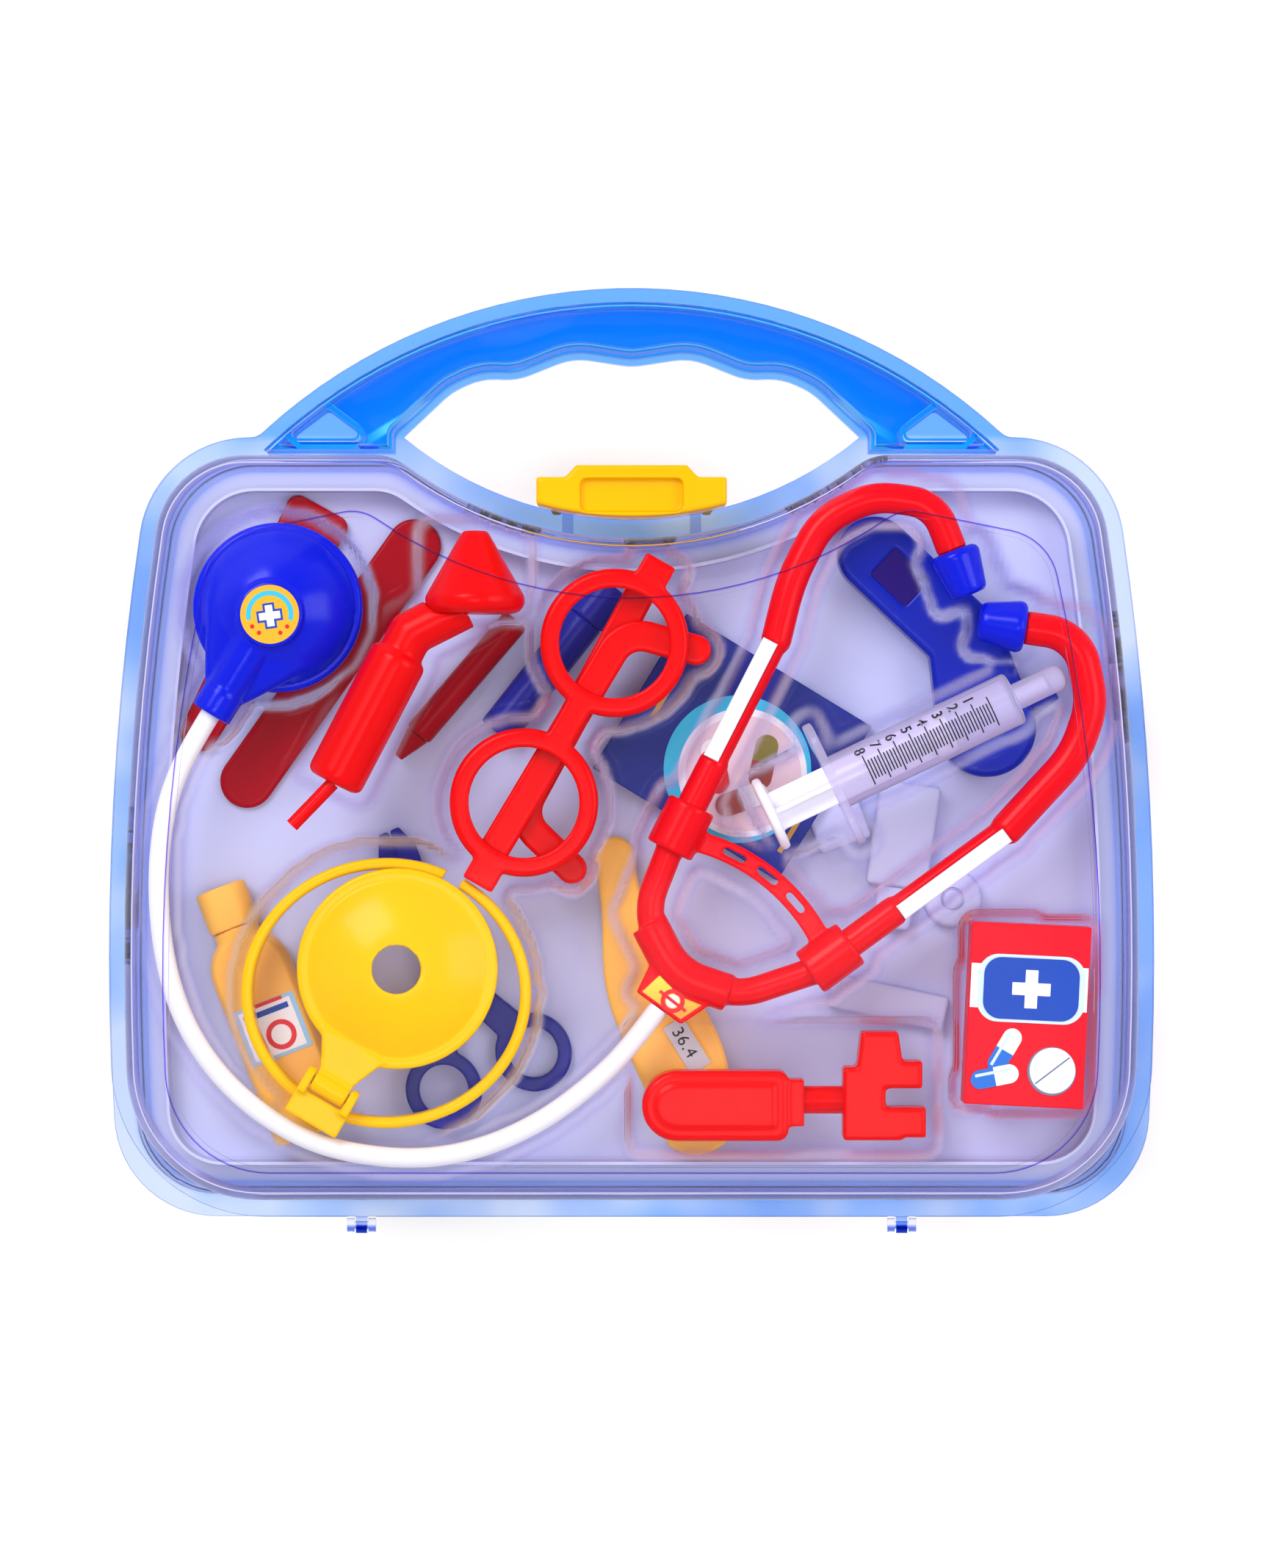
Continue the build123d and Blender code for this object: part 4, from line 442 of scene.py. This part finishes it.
cover_flange_top = 0.0345
panel_low = 0.0588
panel_step_middle = 0.0613
panel_step_half = 0.0007
notch_centre_y = 0.1626
# Where the painted reflection of the latch lies in the wall of the hollow round the notch.
latch_reflection_r = 0.1000
latch_reflection_half = 0.0026
latch_reflection_reach = 0.046
cover_clear = clear_plastic("cover_clear", None, None, srgb(240, 240, 255), 0.34, tints=cover_tints)
rounded("front_cover_soft", "front_cover", cover_clear, "cover", 0.0005)


# ---------------- Front tray ----------------
# A thin clear sheet, vacuum formed with a drafted pocket under each toy of the front layer.
# Its slanting walls show as pale and violet outlines round the toys.
tray_clear = clear_plastic("tray_clear", srgb(253, 252, 255), srgb(204, 198, 246), srgb(248, 247, 255), 0.75)
tray_cell = 0.0014
tray_sheet = 0.0005
pressed = bmesh.new()
pressed.from_mesh(solids["front_tray"].data)
tray_top = max(vertex.co.z for vertex in pressed.verts)
pressed_top = BVHTree.FromBMesh(pressed)
outline = [face for face in pressed.faces if abs(face.normal.z) < 0.1
           and min(vertex.co.z for vertex in face.verts) > tray_top - 0.0010]
tray_edge = BVHTree.FromPolygons([vertex.co for face in outline for vertex in face.verts],
                                 [(first, first + 1, first + 2) for first in range(0, 3 * len(outline), 3)])
low_x, high_x = (choose(vertex.co.x for vertex in pressed.verts) for choose in (min, max))
low_y, high_y = (choose(vertex.co.y for vertex in pressed.verts) for choose in (min, max))
pressed.free()
sheet = bmesh.new()
bmesh.ops.create_grid(sheet, x_segments=round((high_x - low_x) / tray_cell),
                      y_segments=round((high_y - low_y) / tray_cell), size=0.5,
                      matrix=Matrix.Translation(((low_x + high_x) / 2, (low_y + high_y) / 2, tray_top))
                      @ Matrix.Diagonal((high_x - low_x, high_y - low_y, 1.0, 1.0)))
beyond = []
for vertex in sheet.verts:
    hit = pressed_top.ray_cast(vertex.co + Vector((0.0, 0.0, 0.1)), Vector((0.0, 0.0, -1.0)))[0]
    if hit is None:
        beyond.append(vertex)
    else:
        vertex.co.z = hit.z
bmesh.ops.delete(sheet, geom=beyond, context="VERTS")
# The pockets widen by one cell before their walls are drawn out, so the draft clears the toys.
for widening in (True, False, False):
    levels = []
    for vertex in sheet.verts:
        near = [item.other_vert(vertex).co.z for item in vertex.link_edges]
        levels.append(min(near + [vertex.co.z]) if widening else (sum(near) + vertex.co.z) / (len(near) + 1))
    for vertex, level in zip(sheet.verts, levels):
        vertex.co.z = tray_top if vertex.is_boundary else level
for vertex in sheet.verts:
    if vertex.is_boundary:
        spot = tray_edge.find_nearest(vertex.co)[0]
        vertex.co = (spot.x, spot.y, tray_top)
bmesh.ops.translate(sheet, verts=sheet.verts, vec=(0.0, 0.0, -0.0001))
bmesh.ops.recalc_face_normals(sheet, faces=sheet.faces)
bmesh.ops.solidify(sheet, geom=sheet.faces[:], thickness=tray_sheet)
front_tray = piece_of("front_tray_formed", sheet, [tray_clear], smooth=True)
front_tray.visible_shadow = False
front_tray.visible_diffuse = False
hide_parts("front_tray")


# ---------------- Rear tray ----------------
# A milky sheet with a low rim that keeps the back layer of toys in place.
tray_milky = moulded("tray_milky", srgb(212, 219, 250), srgb(180, 186, 234), (0.35, 0.5), cloud=20.0)
paint(tray_milky, "rear_tray")


def at(x, y, z, turn=0.0, tilt=0.0):
    """A place in the frame, turned about the upright axis and then tilted."""
    return (Matrix.Translation((x, y, z)) @ Matrix.Rotation(radians(turn), 4, "Z")
            @ Matrix.Rotation(radians(tilt), 4, "Y"))


def coloured(made, number):
    """Marks the faces round newly made vertices with a material number."""
    for face in {face for vertex in made["verts"] for face in vertex.link_faces}:
        face.material_index = number


def bar(shape, length, width, thick, place, number=0):
    """A flat bar of a print or a moulding."""
    made = bmesh.ops.create_cube(shape, size=1.0, matrix=place @ Matrix.Diagonal((length, width, thick, 1.0)))
    coloured(made, number)
    return made


def disc(shape, radius, thick, place, number=0, top=None, segments=48):
    """A flat round spot, or a cone frustum where its top has another radius."""
    made = bmesh.ops.create_cone(shape, cap_ends=True, segments=segments, radius1=radius,
                                 radius2=radius if top is None else top, depth=thick, matrix=place)
    coloured(made, number)
    return made


def plus(shape, size, width, thick, place, number=0):
    """A plus sign of two bars; the second lies a hair higher, so their tops don't flicker."""
    bar(shape, size, width, thick, place, number)
    bar(shape, width, size, thick, place @ Matrix.Translation((0.0, 0.0, thick / 3)), number)


def capsule(shape, radius, half, thick, place, near, far):
    """A two-coloured capsule with round ends."""
    for side, number in ((-1, near), (1, far)):
        disc(shape, radius, thick, place @ at(side * half, 0.0, 0.0), number, segments=32)
        bar(shape, half, 2 * radius, thick, place @ at(side * half / 2, 0.0, -thick / 4), number)


def hoop(shape, radius, width, thick, place, number=0, sweep=360.0, start=0.0):
    """A flat ring, or an arc of one with square ends."""
    first = (place @ at(0, 0, 0, start) @ Matrix.Translation((radius, 0.0, 0.0))
             @ Matrix.Rotation(pi / 2, 4, "X") @ Matrix.Diagonal((width, thick, 1.0, 1.0)))
    made = bmesh.ops.create_grid(shape, x_segments=1, y_segments=1, size=0.5, matrix=first)
    faces = list({face for vertex in made["verts"] for face in vertex.link_faces})
    whole = sweep >= 360.0
    spun = bmesh.ops.spin(shape, geom=faces, cent=place.translation, axis=place.to_3x3() @ Vector((0, 0, 1)),
                          angle=radians(sweep), steps=max(6, int(sweep / 7.5)), use_merge=whole)
    if whole:
        bmesh.ops.delete(shape, geom=faces, context="FACES_ONLY")
    coloured({"verts": [item for item in spun["geom_last"] if isinstance(item, bmesh.types.BMVert)]}, number)
    return spun


# Raised forms of the rear tray in its lower right part, each pressed up from the sheet.
form_base = 0.0024
forms = bmesh.new()
disc(forms, 0.0084, 0.0050, at(0.0888, -0.0380, form_base + 0.0025), top=0.0078)
disc(forms, 0.0032, 0.0012, at(0.0888, -0.0380, form_base + 0.0055), top=0.0026)
bar(forms, 0.0170, 0.0290, 0.0060, at(0.0752, -0.0205, form_base + 0.0030, -8.0))
bar(forms, 0.0105, 0.0120, 0.0050, at(0.0725, -0.0405, form_base + 0.0025, -8.0))
bar(forms, 0.0330, 0.0095, 0.0050, at(0.0710, -0.0668, form_base + 0.0025, -12.0))
bar(forms, 0.0150, 0.0200, 0.0050, at(0.0560, -0.0140, form_base + 0.0025, 20.0))
bmesh.ops.bevel(forms, geom=[edge for edge in forms.edges if edge.calc_face_angle(0.0) > 0.5], offset=0.0012,
                segments=3, profile=0.5, affect="EDGES", material=-1)
piece_of("rear_tray_forms", forms, [tray_milky], smooth=True)


# ---------------- Latch ----------------
# A yellow moulded clip that hooks over both rims in the hollow under the handle. Like the
# other moulded toys it has softly rounded edges.
def softened(name, node, material, body="case", voxel=0.0005, rounds=4, extra=None):
    """A moulded piece with soft edges and hollows, worked from its solid."""
    shape = bmesh.new()
    shape.from_mesh(solids[node].data)
    bmesh.ops.remove_doubles(shape, verts=shape.verts, dist=0.00001)
    if extra:
        extra(shape)
    mesh = bpy.data.meshes.new(name + "_block")
    shape.to_mesh(mesh)
    shape.free()
    block = bpy.data.objects.new(name + "_block", mesh)
    bpy.context.scene.collection.objects.link(block)
    skin = block.modifiers.new("skin", "REMESH")
    skin.mode = "VOXEL"
    skin.voxel_size = voxel
    soft = block.modifiers.new("soft", "SMOOTH")
    soft.factor = 0.5
    soft.iterations = rounds
    depsgraph = bpy.context.evaluated_depsgraph_get()
    worked = bmesh.new()
    worked.from_object(block, depsgraph)
    bpy.data.objects.remove(block)
    made = piece_of(name, worked, [material], body, smooth=True)
    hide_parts(node)
    return made


latch_yellow = moulded("latch_yellow", srgb(246, 190, 0), srgb(240, 172, 0), gloss=0.12)
softened("latch_clip", "latch", latch_yellow, "latch")


# ---------------- Stethoscope: moulded parts ----------------
# Deep blue chestpiece and ear tips, red yoke, strap and arms, white strips let into the arms.
steth_blue = moulded("steth_blue", srgb(0, 30, 226), srgb(0, 12, 196), (0.16, 0.24), gloss=0.2)
steth_red = moulded("steth_red", srgb(244, 0, 26), srgb(222, 0, 14), gloss=0.13)
insert_white = moulded("insert_white", srgb(248, 242, 255), srgb(238, 232, 250))
chest_place = at(-0.0969, 0.0420, 0.0, -121.8)


def shoulder(shape):
    """The flanks of the dome, drawn out to its neck."""
    disc(shape, 0.0172, 0.0180, chest_place @ Matrix.Translation((0.0185, 0.0, 0.0266))
         @ Matrix.Diagonal((1.0, 1.0, 0.36, 1.0)) @ Matrix.Rotation(pi / 2, 4, "Y"), top=0.0062)


softened("chestpiece_bulb", "chestpiece_dome", steth_blue, rounds=8, extra=shoulder)
softened("chestpiece_rim", "chestpiece_ring", steth_blue)
softened("ear_tip_left", "left_ear_tip", steth_blue)
softened("ear_tip_right", "right_ear_tip", steth_blue)
softened("arm_left", "left_arm", steth_red, rounds=3)
softened("arm_right", "right_arm", steth_red, rounds=3)
softened("yoke_soft", "yoke", steth_red)
softened("strap_soft", "bridge_strap", steth_red, rounds=2)
paint(insert_white, "left_arm_insert", "right_arm_insert", "chestpiece_membrane")

# The round sticker on the dome: orange, with a cyan arc, a white plus edged in blue and dots.
sticker_orange = moulded("sticker_orange", srgb(255, 188, 40), srgb(252, 170, 28), (0.3, 0.4))
print_cyan = moulded("print_cyan", srgb(60, 200, 236), srgb(48, 186, 226), (0.3, 0.4))
print_white = moulded("print_white", srgb(250, 250, 252), srgb(242, 242, 248), (0.3, 0.4))
print_blue = moulded("print_blue", srgb(20, 78, 190), srgb(14, 62, 172), (0.3, 0.4))
print_red = moulded("print_red", srgb(236, 30, 44), srgb(222, 20, 36), (0.3, 0.4))
paint(sticker_orange, "chestpiece_sticker")
sticker_top = 0.03645
sticker_x, sticker_y = (chest_place @ Vector((0.0026, 0.0, 0.0))).xy
thin_ink = 0.00004
motif_r = 0.0058
cyan, white, blue, red = range(4)
motif = bmesh.new()
hoop(motif, motif_r, 0.0013, thin_ink, at(sticker_x, sticker_y, sticker_top + 0.00004), cyan, 210.0, -15.0)
plus(motif, 0.0070, 0.0032, thin_ink, at(sticker_x, sticker_y - 0.0004, sticker_top + 0.00006, 8.0), blue)
plus(motif, 0.0058, 0.0020, thin_ink, at(sticker_x, sticker_y - 0.0004, sticker_top + 0.00012, 8.0), white)
for turn in (215, 240, 300, 325):
    spot_x = sticker_x + motif_r * cos(radians(turn))
    spot_y = sticker_y + motif_r * sin(radians(turn))
    disc(motif, 0.0006, thin_ink, at(spot_x, spot_y, sticker_top + 0.00004), red, segments=16)
piece_of("sticker_motif", motif, [print_cyan, print_white, print_blue, print_red])

# The label on the yoke's plate: yellow fading to orange, with a white and red ring.
fade_print, fade_tree = new_material("label_fade")
fade_place = node_of(fade_tree, "ShaderNodeSeparateXYZ",
                     Vector=fade_tree.nodes.new("ShaderNodeTexCoord").outputs["Object"]).outputs
fade_share = rising(fade_tree, fade_place["Y"], -0.0700, -0.0580)
fade_colour = between(fade_tree, srgb(255, 150, 30), srgb(255, 226, 60), fade_share)
fade_skin = marked(fade_tree, fade_colour, srgb(252, 170, 40), (0.3, 0.4))
fade_body = node_of(fade_tree, "ShaderNodeBsdfPrincipled", Roughness=fade_skin["Roughness"],
                    Base_Color=fade_colour, Normal=fade_skin["Normal"])
node_of(fade_tree, "ShaderNodeOutputMaterial", Surface=fade_body.outputs["BSDF"])
paint(fade_print, "yoke_label")
red, white = range(2)
badge = bmesh.new()
badge_place = at(0.0112, -0.0655, 0.03025)
hoop(badge, 0.0027, 0.0012, thin_ink, badge_place @ at(0, 0, 0.00004), red)
disc(badge, 0.0018, thin_ink, badge_place @ at(0, 0, 0.00006), white, segments=24)
bar(badge, 0.0090, 0.0009, thin_ink, badge_place @ at(0, 0, 0.00009, -38.0), red)
piece_of("yoke_motif", badge, [print_red, print_white])


# ---------------- Otoscope, glasses and reflex hammer ----------------
# Toys moulded in one bright red polypropylene, glossy, with rounded edges.
toy_red = moulded("toy_red", srgb(238, 0, 6), srgb(218, 0, 4), gloss=0.11)
softened("otoscope_funnel", "otoscope_head", toy_red, rounds=8)
softened("otoscope_grip", "otoscope_handle", toy_red, rounds=8)
paint(toy_red, "otoscope_peg", "glasses_hinge_pins", "hammer_shaft")
softened("glasses_rims", "glasses_front", toy_red)
softened("glasses_arm_left", "glasses_temple_left", toy_red)
softened("glasses_arm_right", "glasses_temple_right", toy_red)
softened("hammer_grip", "hammer_handle", toy_red, rounds=5)
softened("hammer_block", "hammer_head", toy_red, rounds=6)


# ---------------- Head mirror ----------------
# Yellow: a dished disc with a rolled lip and a sight hole, clipped to an open head band.
mirror_yellow = moulded("mirror_yellow", srgb(252, 200, 0), srgb(248, 184, 0), (0.14, 0.22), gloss=0.13)


def lip(shape):
    """The rolled lip round the disc."""
    hoop(shape, 0.0261, 0.0026, 0.0022, at(-0.0638, -0.0566, 0.0323))


softened("mirror_dish", "mirror_disc", mirror_yellow, "mirror", rounds=5, extra=lip)
softened("mirror_clip", "mirror_clamp", mirror_yellow)
softened("mirror_headband", "mirror_band", mirror_yellow, rounds=3)
paint(mirror_yellow, "mirror_pin")


# ---------------- Syringe ----------------
# Frosted clear barrel with a black scale, a white plunger with a thick thumb plate, and a
# cap on the nozzle.
barrel_clear = clear_plastic("barrel_clear", srgb(226, 220, 244), srgb(190, 182, 232), srgb(226, 220, 244),
                             0.7, clearness=0.34)
paint(barrel_clear, "syringe_barrel", "syringe_cap", clear=True)
syringe_white = moulded("syringe_white", srgb(246, 244, 255), srgb(234, 232, 250))
softened("plunger_rod", "syringe_plunger", syringe_white, "plunger", voxel=0.0004, rounds=3)
paint(syringe_white, "syringe_piston")
print_black = moulded("print_black", srgb(26, 26, 34), srgb(18, 18, 26), (0.4, 0.5))
barrel_r = 0.00753
scale_start = 0.0112
tick_step = 0.000932
tick_width = 0.00036
short_tick = 0.0058
long_tick = 0.0092
ticks_per_number = 5
highest_number = 8
digit_size = 0.0042
digit_across = 0.0054


def digit(shape, sign, size, place, bolder=0.0):
    """A printed character, laid flat at a place."""
    lettering = bpy.data.curves.new("digit", "FONT")
    lettering.body = sign
    lettering.size = size
    lettering.offset = bolder
    lettering.align_x = "CENTER"
    holder = bpy.data.objects.new("digit", lettering)
    bpy.context.scene.collection.objects.link(holder)
    flat = bpy.data.meshes.new_from_object(holder)
    flat.transform(place)
    shape.from_mesh(flat)
    bpy.data.objects.remove(holder)


# The scale is laid out flat, along the barrel and round it, and then wrapped.
scale = bmesh.new()
for number in range(highest_number * ticks_per_number + 1):
    reach = short_tick if number % ticks_per_number else long_tick
    bmesh.ops.create_grid(scale, x_segments=1, y_segments=8, size=0.5,
                          matrix=at(scale_start + number * tick_step, -0.0008, 0.0)
                          @ Matrix.Diagonal((tick_width, reach, 1.0, 1.0)))
# Each digit stands on its side, its middle level with a long tick.
for number in range(highest_number):
    along = scale_start + number * ticks_per_number * tick_step - 0.0015
    digit(scale, str(highest_number - number), digit_size, at(along, digit_across, 0.0, -90.0), 0.00008)
for vertex in scale.verts:
    turn = vertex.co.y / barrel_r
    vertex.co = (vertex.co.x, barrel_r * sin(turn), barrel_r * cos(turn))
bmesh.ops.solidify(scale, geom=scale.faces[:], thickness=0.00003)
piece_of("syringe_scale", scale, [print_black], place=at(0.0540, -0.0068, 0.0305, 25.5))


# ---------------- Medicine box ----------------
# A folded carton of printed card: red, with a white band, a blue plaque with a white plus, a
# scored white tablet and two capsules.
box_red = moulded("box_red", srgb(240, 22, 44), srgb(228, 14, 36), (0.3, 0.45), gloss=0.12)
paint(box_red, "medicine_box")
box_place = at(0.1076, -0.0692, 0.0361, -2.8)
ink = 0.0001
white, blue, pill_blue, shade, gleam = range(5)
box_print = bmesh.new()
bar(box_print, 0.0318, 0.0120, ink, box_place @ at(0, 0.0076, 0), white)
box_middle = box_place @ at(0.0006, 0.0072, 0.0)
for length, width, radius, lift, number in ((0.0180, 0.0184, 0.0056, 0.00010, gleam),
                                            (0.0164, 0.0168, 0.0048, 0.00020, blue)):
    plaque = box_middle @ at(0, 0, lift)
    bar(box_print, length + 2 * radius, width - 2 * radius, ink, plaque, number)
    bar(box_print, length, width, ink, plaque @ at(0, 0, 0.00002), number)
    for x in (-1, 1):
        for y in (-1, 1):
            disc(box_print, radius, ink,
                 plaque @ at(x * length / 2, y * (width / 2 - radius), 0.00004 + y * 0.00001), number)
plus(box_print, 0.0104, 0.0034, ink, box_middle @ at(0, 0, 0.00034), white)
disc(box_print, 0.0066, ink, box_place @ at(0.0072, -0.0148, 0.00004), shade)
disc(box_print, 0.0062, ink, box_place @ at(0.0074, -0.0146, 0.00010), white)
bar(box_print, 0.0118, 0.0004, ink, box_place @ at(0.0074, -0.0146, 0.00018, 40.0), shade)
for x, y, turn, lift in ((-0.0058, -0.0098, 62.0, 0.0), (-0.0082, -0.0170, 14.0, 0.0002)):
    pill = box_place @ at(x, y, 0.00010 + lift, turn)
    capsule(box_print, 0.0026, 0.0040, ink, pill, pill_blue, white)
    bar(box_print, 0.0104, 0.0008, ink, pill @ at(0, 0.0012, 0.00008), gleam)
capsule_blue = moulded("capsule_blue", srgb(40, 120, 220), srgb(30, 104, 204), (0.3, 0.4))
print_shade = moulded("print_shade", srgb(120, 132, 156), srgb(108, 120, 146), (0.3, 0.4))
print_gleam = moulded("print_gleam", srgb(214, 232, 250), srgb(204, 224, 246), (0.3, 0.4))
piece_of("medicine_print", box_print, [print_white, print_blue, capsule_blue, print_shade, print_gleam])


# ---------------- Card box ----------------
# A flat navy carton in the back layer, with a cyan and a white ring round a pale pink spot,
# three capsules on the spot and plain gold bars near its ends.
card_navy = moulded("card_navy", srgb(26, 44, 150), srgb(18, 32, 122), (0.3, 0.45))
paint(card_navy, "card_box")
print_gold = moulded("print_gold", srgb(196, 150, 60), srgb(180, 136, 50), (0.3, 0.4))
print_brown = moulded("print_brown", srgb(176, 82, 70), srgb(160, 72, 62), (0.3, 0.4))
print_olive = moulded("print_olive", srgb(150, 140, 60), srgb(138, 128, 52), (0.3, 0.4))
print_pink = moulded("print_pink", srgb(240, 216, 226), srgb(232, 206, 218), (0.3, 0.4))
card_place = at(0.0292, -0.0022, 0.0105)
cyan, white, pink, brown, olive, red, gold = range(7)
card_print = bmesh.new()
disc(card_print, 0.0204, ink, card_place, cyan, segments=64)
disc(card_print, 0.0178, ink, card_place @ at(0.0014, -0.0010, 0.00010), white, segments=64)
disc(card_print, 0.0160, ink, card_place @ at(0.0016, -0.0012, 0.00018), pink, segments=64)
for x, y, turn, near, far, lift in ((0.0072, 0.0020, 78.0, brown, olive, 0.00028),
                                    (-0.0062, 0.0008, 100.0, red, white, 0.00048),
                                    (0.0012, -0.0084, 20.0, brown, white, 0.00068)):
    capsule(card_print, 0.0032, 0.0044, ink, card_place @ at(x, y, lift, turn), near, far)
card_middle = at(0.02775, 0.00385, 0.0105, -31.4)
for shift, along, long in ((-0.0260, 0.0040, 0.0130), (-0.0232, 0.0020, 0.0170), (0.0262, -0.0120, 0.0120)):
    bar(card_print, 0.0014, long, ink, card_middle @ at(shift, along, 0.0), gold)
piece_of("card_print", card_print, [print_cyan, print_white, print_pink, print_brown, print_olive, print_red,
                                    print_gold])


# ---------------- Bottle and clinical thermometer ----------------
# Orange toys of the back layer: a flat-sided bottle with a printed paper label, and a
# thermometer with a grey display.
bottle_orange = moulded("bottle_orange", srgb(255, 200, 98), srgb(248, 178, 70), gloss=0.12)
softened("bottle_flask", "bottle_body", bottle_orange, rounds=6)
softened("bottle_lid", "bottle_cap", bottle_orange)
softened("thermometer_case", "thermometer_body", bottle_orange, rounds=5)
label_paper = moulded("label_paper", srgb(168, 212, 244), srgb(150, 200, 238), (0.4, 0.5))
paint(label_paper, "bottle_label")
label_place = at(-0.0989, -0.0738, 0.01525, -68.8)
white, red, blue = range(3)
label_print = bmesh.new()
label_ink = 0.00006
bar(label_print, 0.0140, 0.0150, label_ink, label_place, white)
disc(label_print, 0.0042, label_ink, label_place @ at(0.0022, 0.0018, 0.00006), red, segments=32)
disc(label_print, 0.0028, label_ink, label_place @ at(0.0022, 0.0018, 0.00010), white, segments=32)
bar(label_print, 0.0016, 0.0130, label_ink, label_place @ at(-0.0050, 0, 0.00006), blue)
bar(label_print, 0.0010, 0.0110, label_ink, label_place @ at(-0.0074, 0, 0.00006), red)
disc(label_print, 0.0016, label_ink, label_place @ at(0.0060, -0.0046, 0.00006), blue, segments=24)
piece_of("bottle_print", label_print, [print_white, print_red, print_blue])
display_grey = moulded("display_grey", srgb(206, 210, 214), srgb(192, 196, 202), (0.4, 0.5))
paint(display_grey, "thermometer_display")
display_place = at(0.0152, -0.0784, 0.01446, -58.0)
reading = bmesh.new()
for shift, sign in ((-0.0044, "3"), (-0.0018, "6"), (0.0002, "."), (0.0022, "4")):
    digit(reading, sign, 0.0048, display_place @ Matrix.Translation((shift, -0.0016, 0.0)))
bmesh.ops.solidify(reading, geom=reading.faces[:], thickness=0.00004)
piece_of("thermometer_reading", reading, [print_black])


# ---------------- Flat tools of the back layer ----------------
# Dark red depressor, spatula and probe, navy scissors and pen torch, all under the front tray.
back_red = moulded("back_red", srgb(186, 0, 28), srgb(150, 0, 18), gloss=0.08)
softened("depressor_soft", "tongue_depressor", back_red)
softened("spatula_soft", "spatula", back_red)
softened("probe_soft", "probe_handle", back_red)
paint(back_red, "probe_tip")
back_navy = moulded("back_navy", srgb(44, 50, 172), srgb(26, 28, 134), gloss=0.12)
softened("scissors_low", "scissors_lower_half", back_navy, rounds=2)
softened("scissors_high", "scissors_upper_half", back_navy, "scissors_half", rounds=2)
softened("torch_barrel", "torch_body", back_navy)
softened("torch_collar", "torch_head", back_navy)
paint(back_navy, "scissors_rivet")
lens_clear = clear_plastic("lens_clear", srgb(220, 224, 250), srgb(190, 190, 240), srgb(220, 224, 250),
                           0.6, clearness=0.3)
paint(lens_clear, "torch_lens")


# ---------------- Ear scope ----------------
# Deep blue body with a dark window and a short probe, in the upper right of the back layer.
scope_blue = moulded("scope_blue", srgb(8, 40, 194), srgb(2, 20, 150), (0.2, 0.3), gloss=0.15)
scope_dark = moulded("scope_dark", srgb(44, 12, 128), srgb(30, 6, 104), (0.1, 0.16))
paint(scope_dark, "scope_window")
softened("scope_case", "scope_body", scope_blue, rounds=5)
softened("scope_tube", "scope_probe", scope_blue)
